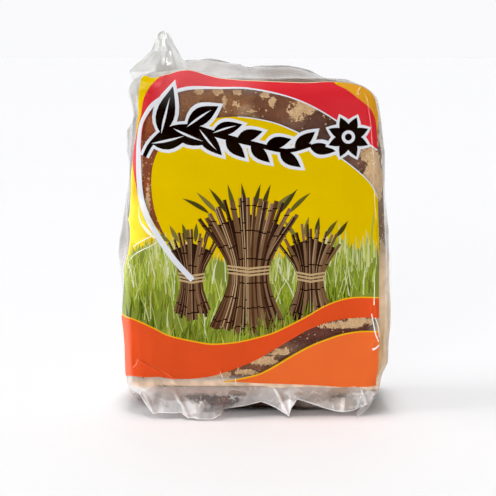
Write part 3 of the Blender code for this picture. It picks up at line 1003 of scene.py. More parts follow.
# %% [markdown]
# ## From bmesh to finished pieces
# The bag is one closed surface, and it becomes two pieces: what is printed, and what stayed clear. Each is
# a copy of the bmesh with the other's faces deleted. A helper writes a bmesh in millimetres to a mesh in
# metres, gives it its finish and links it into the scene.

# %% Printed front and clear film
def finish_piece(name, bm, material):
    """A smooth shaded object in metres from a bmesh in millimetres."""
    bmesh.ops.scale(bm, vec=(MM, MM, MM), verts=bm.verts)
    mesh = bpy.data.meshes.new(name)
    bm.to_mesh(mesh)
    bm.free()
    mesh.materials.append(material)
    mesh.shade_smooth()
    print(name, "has", len(mesh.polygons), "faces")
    return link(bpy.data.objects.new(name, mesh))


def part_of_bag(name, keep_printed, material):
    """The printed faces of the bag as one piece, or all the others."""
    part = bag.copy()
    layer = part.faces.layers.int["printed"]
    bmesh.ops.delete(part, geom=[f for f in part.faces if bool(f[layer]) != keep_printed], context="FACES")
    part.faces.layers.int.remove(layer)
    if not keep_printed:
        part.loops.layers.float_color.remove(part.loops.layers.float_color["ink"])
    return finish_piece(name, part, material)


print_piece = part_of_bag("printed_front", True, PRINT)
film_piece = part_of_bag("clear_film", False, FILM)
bag.free()

# %% [markdown]
# ## Milky film
# Clear film isn't equally clear all over. It is nearly invisible where it clings to the block, and grey or
# white where it hangs slack: down the sides, over the lid and along the foot. Each zone below says where
# it is, how milky it is and what tint it takes, mostly from what lies behind it; the grey of the left side,
# a dark line over the foot seal and a few bright marks are painted shade, shadow and highlights instead.
# The zones are blended one after another, and the values are kept on the mesh for the finish to read.

# %% How milky the film is
def film_look(p):
    """How milky the bag's film is at a point, in mm, and its tint, with painted shade, shadow and
    highlights.
    """
    look = [0.005, Vector((0.92, 0.90, 0.87))]
    lid = between(p.z, 110, 117) * between(p.y, -20, -15)
    right_flank = between(p.x, 40, 43.5)
    facing_front = between(p.y, -5, -11)
    wander = 7 * perlin(3.3, p.y / 9, p.z / 9)
    left_flank = between(p.x, -40, -45) * between(p.y + wander, 17, -1)
    mottle = between(perlin(p.x / 3, 0.5, p.z / 2.2), -0.3, 0.2)
    foot_band = between(p.z, 14, 10) * between(p.z, 5, 8) * between(p.y, -15, -18)
    gap_shadow_line = between(abs(p.z - 9.0), 0.8, 0.3) * between(p.x, -37, -33) * between(p.x, 6, 0)
    zones = (
        # The right side, warmer where the crust shines through from below.
        (right_flank, 0.2, "#c9bfa4"),
        (right_flank * between(p.z, 64, 50) * facing_front, 0.75, "#f8d8b0"),
        (between(p.x, 38.5, 41) * between(p.z, 34, 24) * between(p.z, 7, 9) * facing_front, 0.6, "#eec795"),
        # The slack left side: painted shade greys it above, and it is milky white below.
        (left_flank * between(p.z, 10, 16), 0.6, "#9d9389"),
        (left_flank * between(p.z, 62, 50) * between(p.z, 10, 16), 0.5, "#f0ede8"),
        # The back.
        (between(p.y, 12, 19), 0.15, "#e9e6e0"),
        # The mottled band over the foot seal, a painted shadow line in it, its left end and a painted
        # highlight.
        (foot_band, 0.7 + 0.2 * mottle, "#fbdcc0"),
        (gap_shadow_line * between(p.y, -16, -19), 0.75, "#5e4e47"),
        (left_flank * between(p.z, 15, 11) * between(p.x, -43, -45), 0.5, "#f0dfd6"),
        (between(p.z, 10, 7.5) * between(p.x, -36, -39) * between(p.y, -10, -15), 0.9, "#fbf9f8"),
        # A painted highlight: the bright line down the right edge.
        (between(abs(p.x - 45.2), 0.4, 0.1) * between(p.z, 36, 42) * between(p.z, 67, 60), 0.8, "#f4f2ee"),
        # The lid, browner to the right, and the pleats under the ear.
        (lid, 0.6, "#ebe8e4"),
        (lid * between(p.x, -12, -4), 0.5, "#cfc9c3"),
        (lid * between(p.x, -2, 5), 0.6, "#978678"),
        (lid * between(p.x, 26, 34), 0.2, "#cfc3b4"),
        (between(p.x, -30, -37) * between(p.z, 108, 116), 0.5, "#e6e5e0"),
    )
    for weight, milk, tint in zones:
        look[0] += (milk - look[0]) * weight
        look[1] = look[1].lerp(tint_of(tint), weight)
    return look


def paint_film(piece, look):
    """Writes a look function's milk and tint on each point of a piece."""
    mesh = piece.data
    milk = mesh.attributes.new("milk", "FLOAT", "POINT")
    tint = mesh.attributes.new("tint", "FLOAT_COLOR", "POINT")
    for vertex, amount, colour in zip(mesh.vertices, milk.data, tint.data):
        amount.value, shade = look(vertex.co / MM)
        colour.color = (*shade, 1)


paint_film(film_piece, film_look)

# %% [markdown]
# ## The sugar block
# The block fills the bag to about a millimetre. It starts as a plain rounded slab on the same map. A
# Geometry Nodes tree then subdivides it and moves its surface: a slow swell, chips along the edges and
# small pits, each with a size that can be tuned on the modifier. That suits a cast block, whose surface
# follows a rule more than a drawing.

# %% Plain slab
# The block lies this far inside the film, and less at the foot that it stands on.
BLOCK_GAP, FOOT_GAP = 0.8, 0.25
SLAB_STEP = 3.2
CAP_SHARES = (0.9, 0.8, 0.65, 0.5, 0.25)


def plain_slab():
    """A closed rounded slab a little inside the film, in metres."""
    bm = bmesh.new()
    rows = round((TOP_T - FOOT_T) / SLAB_STEP)
    around = round(2 * half_round(HEIGHT / 2) / SLAB_STEP)
    rings, tight_rings = [], []
    for row in range(rows + 1):
        t = FOOT_T + (TOP_T - FOOT_T) * row / rows
        ring, tight = [], []
        for k in range(around):
            s = (2 * k / around - 1) * half_round(t)
            base, normal, _ = skin(s, t)
            p = worn(base) - normal * BLOCK_GAP
            p.z -= (BLOCK_GAP - FOOT_GAP) * between(base.z, 14, 1)
            ring.append(bm.verts.new(p * MM))
            tight.append(base)
        rings.append(ring)
        tight_rings.append(tight)
    for low, high in zip(rings, rings[1:]):
        join_rings(bm, low, high)
    for end, gap in ((0, FOOT_GAP), (-1, -BLOCK_GAP)):
        ring, tight = rings[end], tight_rings[end]
        middle, raised = Vector((0, 0, tight[0].z)), Vector((0, 0, gap))
        for share in CAP_SHARES:
            inner = [bm.verts.new((worn(middle + (p - middle) * share) + raised) * MM) for p in tight]
            join_rings(bm, ring, inner)
            ring = inner
        close_ring(bm, ring, bm.verts.new((middle + raised) * MM))
    bmesh.ops.recalc_face_normals(bm, faces=bm.faces)
    mesh = bpy.data.meshes.new("sugar_block")
    bm.to_mesh(mesh)
    bm.free()
    return link(bpy.data.objects.new("sugar_block", mesh))


slab = plain_slab()
print("The slab starts with", len(slab.data.polygons), "faces")

# %% Helpers for Geometry Nodes
def new_tree(name, inputs):
    """A Geometry Nodes tree with a geometry going in and out, and named number inputs."""
    tree = bpy.data.node_groups.new(name, "GeometryNodeTree")
    tree.interface.new_socket("Geometry", in_out="INPUT", socket_type="NodeSocketGeometry")
    tree.interface.new_socket("Geometry", in_out="OUTPUT", socket_type="NodeSocketGeometry")
    for label, value in inputs.items():
        kind = "NodeSocketInt" if isinstance(value, int) else "NodeSocketFloat"
        tree.interface.new_socket(label, in_out="INPUT", socket_type=kind).default_value = value
    return tree, tree.nodes.new("NodeGroupInput"), tree.nodes.new("NodeGroupOutput")


def end_tree(tree, geometry, group_out, material):
    """Ends a tree with real geometry, because instances get lost on export, and gives it its finish."""
    real = add_node(tree, "GeometryNodeRealizeInstances", {0: geometry})
    coat = add_node(tree, "GeometryNodeSetMaterial", {0: real.outputs[0], "Material": material})
    tree.links.new(coat.outputs[0], group_out.inputs[0])
    return tree


def run_tree(piece, tree, values):
    """Runs a tree on an object with the given values and keeps the result as the object's own mesh."""
    modifier = piece.modifiers.new(tree.name, "NODES")
    modifier.node_group = tree
    for item in tree.interface.items_tree:
        if item.in_out == "INPUT" and item.name in values:
            modifier[item.identifier] = values[item.name]
    depsgraph = bpy.context.evaluated_depsgraph_get()
    mesh = bpy.data.meshes.new_from_object(piece.evaluated_get(depsgraph), depsgraph=depsgraph)
    piece.modifiers.remove(modifier)
    piece.data = mesh
    print(piece.name, "has", len(mesh.polygons), "faces after", tree.name)


print("A tree starts with a geometry in and out, and ends with its material")

# %% Geometry Nodes for the cast surface
def cast_surface():
    """A tree that subdivides a slab and swells, chips and pits its surface."""
    tree, group_in, group_out = new_tree("cast sugar surface", {
        "Swell": 0.0, "Chip depth": 0.0, "Pit depth": 0.0, "Fineness": 2, "Seed": 0.0})
    fine = add_node(tree, "GeometryNodeSubdivisionSurface", {
        "Mesh": group_in.outputs["Geometry"], "Level": group_in.outputs["Fineness"]})
    normal = add_node(tree, "GeometryNodeInputNormal").outputs[0]
    seed = group_in.outputs["Seed"]
    # The swell changes over 25 mm, a chip is about 7 mm wide and a pit 3 mm.
    swell = add_node(tree, "ShaderNodeTexNoise", {"W": seed, "Scale": 40.0, "Detail": 1.0},
                     noise_dimensions="4D")
    chips = add_node(tree, "ShaderNodeTexNoise", {"W": seed, "Scale": 150.0, "Detail": 3.0},
                     noise_dimensions="4D")
    pits = add_node(tree, "ShaderNodeTexVoronoi", {"W": seed, "Scale": 330.0}, voronoi_dimensions="4D")
    low = add_node(tree, "ShaderNodeMapRange", {
        "Value": swell.outputs[0], "From Min": 0.3, "From Max": 0.7, "To Min": -1.0, "To Max": 0.4})
    chip = add_node(tree, "ShaderNodeMapRange", {
        "Value": chips.outputs[0], "From Min": 0.52, "From Max": 0.72, "To Min": 0.0, "To Max": -1.0})
    pit = add_node(tree, "ShaderNodeMapRange", {
        "Value": pits.outputs["Distance"], "From Min": 0.1, "From Max": 0.32,
        "To Min": -1.0, "To Max": 0.0})
    rise = group_in.outputs
    total = add_node(tree, "ShaderNodeMath", {0: low.outputs[0], 1: rise["Swell"]},
                     operation="MULTIPLY").outputs[0]
    for shape, amount in ((chip, "Chip depth"), (pit, "Pit depth")):
        total = add_node(tree, "ShaderNodeMath", {0: shape.outputs[0], 1: rise[amount], 2: total},
                         operation="MULTIPLY_ADD").outputs[0]
    offset = add_node(tree, "ShaderNodeVectorMath", {0: normal, "Scale": total}, operation="SCALE")
    moved = add_node(tree, "GeometryNodeSetPosition", {
        "Geometry": fine.outputs[0], "Offset": offset.outputs[0]})
    return end_tree(tree, moved.outputs[0], group_out, SUGAR)


run_tree(slab, cast_surface(), {
    "Swell": 0.0006, "Chip depth": 0.0009, "Pit depth": 0.00025, "Fineness": 2, "Seed": 3.0})

# %% [markdown]
# ## Crust and tones of the sugar
# A crust forms where the syrup touched the mould and dried, so it lies in patches, and the mass under it
# runs from red brown to grey. On the front the patches and tones stand where the windows of the print
# show them, as two short tables of soft spots, and two dark tones at the foot are painted shade. Elsewhere
# noise scatters them.

# %% Pale crust
# Middle, half width and half height of each patch of crust that the windows show, on the sheet in mm.
CRUST = (
    (16.2, 107.4, 4.8, 2.9), (13.4, 105.3, 2.6, 2.6), (2.6, 111.8, 1.8, 1.4), (5.0, 108.7, 1.4, 1.8),
    (-7.0, 112.4, 1.8, 1.1), (-13.7, 112.6, 1.8, 1.6), (-11.4, 109.8, 0.9, 2.4), (-8.0, 108.6, 1.0, 0.8),
    (-20.3, 112.6, 1.8, 1.2), (-2.0, 106.0, 1.6, 0.7), (-17.0, 107.0, 1.2, 1.2), (40.5, 82.0, 3.8, 9.0),
    (38.5, 91.0, 3.4, 2.6), (30.0, 31.2, 8.5, 1.4), (36.0, 33.0, 5.0, 1.0), (2.0, 18.2, 5.5, 1.6),
    (8.0, 21.5, 3.4, 1.3), (-4.0, 14.2, 4.5, 1.1), (-15.0, 13.2, 5.0, 1.4), (-34.0, 10.6, 9.0, 2.4),
    (-18.0, 10.6, 12.0, 1.9), (-2.0, 10.4, 8.0, 1.0), (43.5, 20.0, 2.4, 9.0), (44.5, 50.0, 2.2, 12.0),
    (43.6, 100.0, 2.6, 7.0), (36.0, 7.5, 7.0, 1.8), (14.0, 7.0, 8.0, 1.2), (-37.0, 9.0, 3.5, 2.0),
    (-40.6, 88.0, 1.1, 12.0), (-38.0, 74.0, 0.8, 6.0),
)


def crust_at(p):
    """The soft mask of crust: hand-set patches on the front, chance patches elsewhere."""
    loose = 0.36 + 0.6 * perlin(p.x / 15, p.y / 15, p.z / 15)
    front = between(p.y, -8, -15)
    patch = 0.14 + 0.35 * perlin(p.x / 8, 3, p.z / 8) * between(p.x, 14, 0)
    for s, t, half_s, half_t in CRUST:
        away = math.hypot((p.x - s) / half_s, (p.z - t) / half_t)
        patch = max(patch, 0.98 - 0.5 * away)
    return loose + (patch - loose) * front


print("Crust at the top of the window: %.2f" % crust_at(Vector((16, -18, 107))))

# %% Tones of brown
# Middle, half width and half height of each stretch of sugar with a tone of its own, on the sheet in mm.
TONES_AND_FOOT_SHADE = (
    (-37.5, 80.0, 6.0, 26.0, "#a34e20"), (-14.0, 108.0, 16.0, 8.0, "#96643f"),
    (-2.0, 105.5, 5.0, 3.0, "#b08a66"), (6.0, 108.0, 9.0, 6.0, "#7a4a2e"),
    (26.0, 99.0, 12.0, 9.0, "#5f3826"), (40.0, 84.0, 5.0, 12.0, "#6b4333"),
    (22.0, 29.5, 22.0, 6.0, "#683524"), (-2.0, 16.0, 12.0, 4.0, "#7a4c33"),
    (-20.0, 7.0, 24.0, 4.0, "#8b7468"), (20.0, 5.0, 22.0, 5.0, "#7c6355"),
    # The two dark tones at (0, 1.5) and (-18, 5.5) are painted shade under the block's rounded foot.
    (45.0, 16.0, 3.0, 12.0, "#c09c74"), (0.0, 1.5, 12.0, 5.0, "#3f2f28"),
    (-18.0, 5.5, 8.0, 2.0, "#5d4a42"), (19.0, 2.5, 7.0, 3.5, "#8e8077"),
)


def tone_at(p):
    """The sugar's colour at a point: a mid brown, blended into the front's tones and its painted shade at
    the foot.
    """
    colour = tint_of("#7b5440")
    for s, t, half_s, half_t, hue in TONES_AND_FOOT_SHADE:
        away = math.hypot((p.x - s) / half_s, (p.z - t) / half_t)
        colour = colour.lerp(tint_of(hue), between(away, 1.15, 0.75) * between(p.y, -6, -13))
    return colour


print("The brown at the middle of the front:", [round(c, 2) for c in tone_at(Vector((0, -19, 60)))])

# %% Paint the block
def paint(piece, name, rule):
    """Writes a rule's value, a number or a colour, on each point of a piece."""
    kind = "FLOAT" if isinstance(rule(Vector()), float) else "FLOAT_COLOR"
    layer = piece.data.attributes.get(name) or piece.data.attributes.new(name, kind, "POINT")
    for vertex, value in zip(piece.data.vertices, layer.data):
        if kind == "FLOAT":
            value.value = rule(vertex.co / MM)
        else:
            value.color = (*rule(vertex.co / MM), 1)


paint(slab, "crust", crust_at)
paint(slab, "tone", tone_at)
slab.data.shade_smooth()
print("Crust and tone painted on", len(slab.data.vertices), "points")

# %% [markdown]
# ## Loose film
# Where the film is spare it leaves the block: an ear at the top left, the folded end seal on top and the
# end seal that hangs before the foot. Each is a sheet through rows of points. The rows give its outline,
# and folds or a crumple made of ridged noise break it into facets that catch the light one by one.

# %% Sheets through rows
def table_row(rows, place):
    """A row of numbers at a place in a table whose first column is the place."""
    return [along_table([(row[0], row[k]) for row in rows], place) for k in range(1, len(rows[0]))]


def crumple(p, size, depth):
    """A facetted offset in every direction, largest at creases that lie about size mm apart."""
    shift = []
    for k in range(3):
        q = p / size + Vector((11.3 * k, 5.1, 3.7 * k))
        shift.append(depth * (0.5 - 1.7 * abs(noise.noise(q))) + 0.35 * depth * noise.noise(q * 2.3))
    return Vector(shift)


def loft(name, rows, material, closed=False):
    """A piece through rows of points of equal length; closed joins each row's ends."""
    bm = bmesh.new()
    grid = [[bm.verts.new(p) for p in row] for row in rows]
    for low, high in zip(grid, grid[1:]):
        count = len(low)
        for i in range(count if closed else count - 1):
            j = (i + 1) % count
            bm.faces.new((low[i], low[j], high[j], high[i]))
    bmesh.ops.remove_doubles(bm, verts=bm.verts, dist=JOIN_WITHIN)
    bmesh.ops.recalc_face_normals(bm, faces=bm.faces)
    return finish_piece(name, bm, material)


# %% [markdown]
# ## The ear
# At the bag's top left corner the spare film was gathered and stands up in a point. It is lofted as a
# cone whose columns lean in and out by turns, which makes pleats that meet at the tip. A second Geometry
# Nodes tree subdivides it and keeps most of each edge's crease, as film folds sharply but never quite.

# %% Ear
# Height of each row of the ear, with its left edge, right edge and half depth there.
EAR = (
    (106, -41.5, -22.0, 5.0), (110, -42.6, -21.0, 6.0), (113.5, -43.6, -20.5, 6.5),
    (117, -44.6, -20.5, 6.5), (119, -45.2, -21.5, 6.0), (121.2, -43.0, -24.3, 5.0),
    (124.0, -40.0, -26.7, 4.2), (126.2, -37.5, -27.9, 3.6), (128.2, -36.5, -29.2, 3.0),
    (130.6, -35.5, -30.3, 2.4), (132.3, -34.5, -31.3, 1.6), (133.1, -33.6, -32.4, 0.6),
)
EAR_COLUMNS = 18


def ear():
    """The ear is a gathered cone: pleats of uneven depth run up it and meet at the tip."""
    rows = []
    for level_number, (z, left, right, deep) in enumerate(EAR):
        row = []
        for i in range(EAR_COLUMNS):
            turn = 2 * math.pi * i / EAR_COLUMNS
            chance = perlin(i * 1.7, z / 9.0, 2.2)
            fold = (-1) ** i * (0.1 + 0.14 * perlin(i * 2.3, z / 14.0, 8.1)) + 0.25 * chance
            flat_share = abs(math.cos(turn)) ** 6
            wave = 1 + fold * (1 - flat_share) * 0.6
            x = (left + right) / 2 + (right - left) / 2 * math.cos(turn) * wave
            y = -1 + deep * math.sin(turn) * (1 + 1.6 * fold)
            row.append(Vector((x, y, z + 0.8 * chance * (0 < level_number < len(EAR) - 1))))
        rows.append(row)
    return loft("ear", rows, SEALED_FILM, closed=True)


def rounded_facets():
    """A tree that subdivides a faceted sheet and keeps some of each edge's crease."""
    tree, group_in, group_out = new_tree("rounded facets", {"Fineness": 2, "Edge crease": 0.0})
    fine = add_node(tree, "GeometryNodeSubdivisionSurface", {
        "Mesh": group_in.outputs["Geometry"], "Level": group_in.outputs["Fineness"],
        "Edge Crease": group_in.outputs["Edge crease"]})
    return end_tree(tree, fine.outputs[0], group_out, SEALED_FILM)


ear_piece = ear()
run_tree(ear_piece, rounded_facets(), {"Fineness": 3, "Edge crease": 0.72})
ear_piece.data.shade_smooth()

# %% How milky the ear is
def ear_look(p):
    """Folds up the ear are greyed by painted shade, with milkier patches between and the right side
    whitened by painted light.
    """
    left, right, _ = table_row(EAR, p.z)
    across = (p.x - left) / (right - left)
    # The folds are milkier, where layers of film meet, and greyer as painted shade in their creases.
    fold = between(abs(perlin(across * 4.5, p.z / 16, 4.4)), 0.07, 0.0)
    fold = max(fold, 0.6 * between(abs(perlin(across * 9, p.z / 20, 7.7)), 0.06, 0.0))
    patch = between(perlin(across * 3, p.z / 7, 1.2 + 0.1 * p.y), -0.05, 0.3)
    # Painted light: the right flank, which lies in shade, is made milkier and whiter.
    painted_light_flank = between(across, 0.55, 0.85)
    tint = tint_of("#efefec").lerp(tint_of("#d6d6d0"), patch).lerp(tint_of("#fbfbf9"), painted_light_flank)
    return 0.42 + 0.2 * patch + 0.3 * fold + 0.25 * painted_light_flank, tint.lerp(tint_of("#b0b0a9"), 0.8 * fold)


paint_film(ear_piece, ear_look)
print("Milk at the ear's middle: %.2f" % ear_look(Vector((-32, -4, 118)))[0])

# %% [markdown]
# ## The seal on top
# The upper end seal is folded down and lies along the crest of the film, so it is a narrow strip that
# follows the crest's own table and crumples more towards its free edge.

# %% Seal on top
TOP_SEAL_LEFT, TOP_SEAL_LENGTH = -36, 64
TOP_SEAL_ROWS, TOP_SEAL_COLUMNS = 8, 124


def top_seal():
    """The folded end seal lies along the crest of the film over the lid."""
    rows = []
    for k in range(TOP_SEAL_ROWS + 1):
        share = k / TOP_SEAL_ROWS
        row = []
        for i in range(TOP_SEAL_COLUMNS + 1):
            x = TOP_SEAL_LEFT + TOP_SEAL_LENGTH * i / TOP_SEAL_COLUMNS
            base = Vector((x, 2 + 5 * share, HEIGHT))
            crest = worn(base).z + along_table(LID_CREST, x)
            p = Vector((x, base.y, crest - 2.0 + 2.2 * share))
            row.append(p + crumple(p, 12.0, 0.7) * share)
        rows.append(row)
    return loft("top_seal", rows, SEALED_FILM)


top_seal_piece = top_seal()


def top_seal_look(p):
    """The seal is greyer along its edge, where it is seen through its own width."""
    crest = worn(Vector((p.x, 7, HEIGHT))).z + along_table(LID_CREST, p.x)
    edge = between(p.z - crest, -0.7, 0.0)
    tint = tint_of("#d9d4ce").lerp(tint_of("#9d9289"), between(p.x, -8, 4))
    return 0.2 + 0.5 * edge, tint.lerp(tint_of("#8d857d"), edge)


paint_film(top_seal_piece, top_seal_look)
print("Milk at the seal's left end: %.2f" % top_seal_look(top_seal_piece.data.vertices[0].co / MM)[0])

# %% [markdown]
# ## The end seal before the foot
# A flow-wrapped bag ends in a crimped seal. Here it hangs from the foot's front edge, is pushed forward
# by folds that cross it, and ends in a hem that rolls over a little. Its height, its reach and its folds
# are short tables, so that each can be tuned by itself. One corner is folded back at the right, and is a
# small sheet of its own. The seal is many layers of film, so it is milky in ragged patches, and painted
# highlights draw the bright lines of its fine creases, of creases that run out from a point like a star,
# of its hem and of its left edge.

# %% Sizes and folds of the seal
# How low and how far forward the hem ends, along x.
FOOT_SEAL = (
    (-41.6, 7.0, 0.4), (-39.8, 5.2, 3.6), (-38, 3.6, 6.0), (-36.0, 1.9, 8.5), (-32, 2.1, 8.8),
    (-27, 2.0, 9.0), (-25, 1.1, 9.8), (-20, 0.6, 11.5), (-15.4, 0.3, 11.8), (-12.6, 1.7, 10.5),
    (-11.4, 3.0, 8.0), (-6, 3.7, 6.5), (-3, 3.8, 5.5), (1.2, 5.0, 4.5), (6.2, 3.1, 4.5), (9.2, 1.4, 5.5),
    (10.9, 0.8, 6.5), (11.5, 2.7, 6.0), (13.8, 5.8, 4.0), (20.5, 3.9, 4.5), (24, 2.7, 4.7),
    (27, 1.9, 4.8), (29.3, 1.6, 4.9), (31.6, 1.6, 5.0), (34, 1.9, 4.6), (37, 2.7, 3.8), (39.5, 4.2, 2.6),
    (41.4, 6.6, 1.2),
)
FOOT_SEAL_TOP = 9.6
FOOT_SEAL_LEFT, FOOT_SEAL_WIDTH = -41.6, 83.4
FOOT_SEAL_ROWS, FOOT_SEAL_COLUMNS = 26, 340
HEM_ROLL, HEM_ROWS = 0.3, 3
# Folds that cross the seal: where each meets its top and its hem, how far it stands out and its half width.
SEAL_FOLDS = (
    (-41.0, -35.5, 1.6, 1.2), (-33.0, -34.5, -1.2, 2.0), (-30.0, -24.0, 1.5, 1.3),
    (-24.0, -27.0, -1.0, 1.8), (-19.0, -20.5, 0.6, 1.6), (-14.0, -16.0, -0.5, 1.6),
    (-10.0, -12.5, 1.4, 1.0), (-2.0, -5.0, 0.8, 2.2), (6.0, 10.8, 1.6, 1.2), (17.0, 13.0, 0.4, 1.4),
    (24.0, 27.0, -0.3, 2.5), (31.0, 30.0, 0.3, 1.4), (37.0, 38.5, 1.2, 1.0), (40.0, 36.0, -0.9, 1.4),
)
print(len(SEAL_FOLDS), "folds cross the seal")

# %% Patches and stars of the seal
# Milky and clear patches of the seal, two of them painted highlights: middle, half width and half height,
# how milky, and the tint.
SEAL_PATCHES = (
    (-35.5, 6.0, 6.0, 5.0, 0.72, "#ebe4e3"), (-34.5, 2.6, 5.0, 1.6, 0.8, "#f6f4f3"),
    (-27.0, 3.4, 5.5, 3.2, 0.85, "#f4f2f2"), (-29.0, 7.4, 7.0, 1.6, 0.6, "#e6ddd9"),
    (-20.5, 6.4, 4.0, 1.3, 0.42, "#b5a9a4"), (-12.5, 5.8, 8.0, 1.8, 0.5, "#92888a"),
    (-12.0, 3.0, 7.0, 1.5, 0.38, "#c9c1bf"), (-17.5, 1.2, 5.0, 1.2, 0.5, "#e4e0df"),
    (-7.0, 7.4, 4.0, 0.9, 0.35, "#ab9f9b"), (-1.5, 4.8, 4.0, 2.6, 0.58, "#e6e0de"),
    (4.0, 6.6, 5.0, 3.0, 0.68, "#eee9e6"), (10.5, 2.6, 2.2, 3.6, 0.97, "#fcfbfc"),
    (13.0, 7.5, 3.0, 2.0, 0.75, "#f3f0ee"), (21.5, 5.6, 7.0, 2.4, 0.5, "#dccfc5"),
    (29.0, 7.4, 4.0, 1.5, 0.3, "#b09f95"), (24.0, 3.4, 7.0, 1.5, 0.72, "#ebe2dc"),
    (31.0, 4.0, 4.5, 1.8, 0.7, "#e9ded4"), (37.5, 4.0, 4.5, 3.4, 0.85, "#f6f1ee"),
    # The two near-white patches on the next line are painted highlights.
    (35.5, 7.0, 3.0, 0.6, 0.9, "#fdfbf9"), (39.8, 6.0, 1.4, 3.0, 0.85, "#fdfbf9"),
)
# Star creases of the seal, whose rays carry a painted highlight: middle and reach.
SEAL_STAR_HIGHLIGHTS = ((-19.6, 5.4, 2.2), (-8.5, 6.2, 1.5), (36.4, 5.2, 2.0), (31.8, 6.8, 1.4))
print(len(SEAL_PATCHES), "patches and", len(SEAL_STAR_HIGHLIGHTS), "stars")

# %% Folded corner of the seal
WING_LEFT = (Vector((36.6, -21.8, 4.6)), Vector((35.9, -23.4, 2.6)), Vector((34.4, -25.0, 0.7)))
WING_RIGHT = (Vector((41.2, -20.6, 5.6)), Vector((39.6, -22.6, 3.0)), Vector((35.9, -26.0, 0.15)))
WING_STEPS = 12


def foot_wing():
    """A corner of the seal that is folded back at the right and reaches the table."""
    rows = []
    for k in range(WING_STEPS + 1):
        share = 2 * k / WING_STEPS
        part = min(int(share), 1)
        left, right = (side[part].lerp(side[part + 1], share - part) for side in (WING_LEFT, WING_RIGHT))
        row = [left.lerp(right, i / WING_STEPS) for i in range(WING_STEPS + 1)]
        rows.append([p + Vector((0, 0.2 * math.sin(i * 0.5 + share), 0)) for i, p in enumerate(row)])
    return loft("foot_wing", rows, SEALED_FILM)


foot_wing_piece = foot_wing()
paint_film(foot_wing_piece, lambda p: (0.55, tint_of("#e6e2df")))

# %% Shape of the seal
def seal_fold(x, share):
    """How far the folds push the seal forward at x and a share of the way down it."""
    push = 0.0
    for top, hem, out, width in SEAL_FOLDS:
        off = abs(x - (top + (hem - top) * share)) / width
        push += out * max(0.0, 1 - off) * between(share, -0.1, 0.7)
    return push


def foot_seal():
    """The end seal hangs from the bag's foot to its hem, which rolls over."""
    rows = []
    steps = [k / FOOT_SEAL_ROWS for k in range(FOOT_SEAL_ROWS + 1)]
    for number, share in enumerate(steps + [1.0] * HEM_ROWS):
        turn = max(0, number - FOOT_SEAL_ROWS) * math.pi / HEM_ROWS
        roll = Vector((0, -HEM_ROLL * math.sin(turn), HEM_ROLL * (1 - math.cos(turn))))
        row = []
        for i in range(FOOT_SEAL_COLUMNS + 1):
            x = FOOT_SEAL_LEFT + FOOT_SEAL_WIDTH * i / FOOT_SEAL_COLUMNS
            low, forward = table_row(FOOT_SEAL, x)
            front = -half_depth(5) + 1.0
            top = FOOT_SEAL_TOP - 2.2 * between(abs(x), 36, 41)
            z = top + (low - top) * share
            y = front - (1.0 + forward) * share**0.7 - seal_fold(x, share)
            p = Vector((x, y, z)) + roll
            p += crumple(Vector((x, 9.0, z * 0.6)), 14.0, 0.6) * between(share, 0, 0.35)
            row.append(Vector((p.x, p.y, max(p.z, 0.1))))
        rows.append(row)
    return loft("foot_seal", rows, SEALED_FILM)


foot_seal_piece = foot_seal()

# %% How milky the seal is
def star(p, x, z, reach):
    """Fine creases that run out from a point of the seal: how much painted highlight they carry at p."""
    off = math.hypot(p.x - x, p.z - z)
    ray = abs(math.sin(2.5 * math.atan2(p.z - z, p.x - x) + reach)) * off
    return between(ray, 0.32, 0.12) * between(off, reach, 0.6 * reach)


def foot_seal_look(p):
    """Milky in ragged patches, with painted highlights along fine creases, stars of creases, the hem and
    left edge.
    """
    milk, tint = 0.58, tint_of("#e6dfdb")
    ragged = 0.6 * perlin(p.x / 2.6, 7.7, p.z / 1.6) + 0.12 * perlin(p.x, 3.1, p.z)
    for x, z, half_x, half_z, amount, hue in SEAL_PATCHES:
        share = between(math.hypot((p.x - x) / half_x, (p.z - z) / half_z) + ragged, 1.15, 0.75)
        milk += (amount - milk) * share
        tint = tint.lerp(tint_of(hue), share)
    long_crease_highlights = between(abs(perlin(p.x / 3.5, 5.5, p.z / 2.5)), 0.045, 0.0)
    long_crease_highlights *= 0.7 * between(perlin(p.x / 6, 1.3, p.z / 5), 0.0, 0.25)
    fine_crease_highlights = between(abs(perlin(p.x / 2.2, 8.5, p.z / 1.6)), 0.1, 0.0) * between(p.x, 34, 37)
    low, _ = table_row(FOOT_SEAL, p.x)
    reach = 0.1 + 0.2 * perlin(p.x / 4, 2.0, 9.0)
    # The hem's white rim is a painted highlight.
    hem = between(p.z - low, reach + 0.3, reach)
    left_edge_highlight = between(p.x, -40.9, -41.2)
    stars = [0.8 * star(p, *place) for place in SEAL_STAR_HIGHLIGHTS]
    # These white lines are painted highlights, where creases, the hem and the left edge would catch the
    # light.
    white = max(long_crease_highlights, fine_crease_highlights, hem, left_edge_highlight, *stars)
    return milk + (0.92 - milk) * white, tint.lerp(Vector((0.95, 0.95, 0.95)), white)


paint_film(foot_seal_piece, foot_seal_look)
print("Milk at the seal's middle: %.2f" % foot_seal_look(Vector((0, -24, 6)))[0])

# %% [markdown]
# ## The lap seam
# Flow-wrapped film is a tube that is closed by one seam down the back. Its two edges lap over each other,
# so the seam is a flat strip on the film, with one edge that stands off a little.

# %% Lap seam down the back
LAP_FOOT, LAP_LENGTH, LAP_HALF_WIDTH = 4, 108, 5.5
LAP_ROWS, LAP_COLUMNS = 120, 8


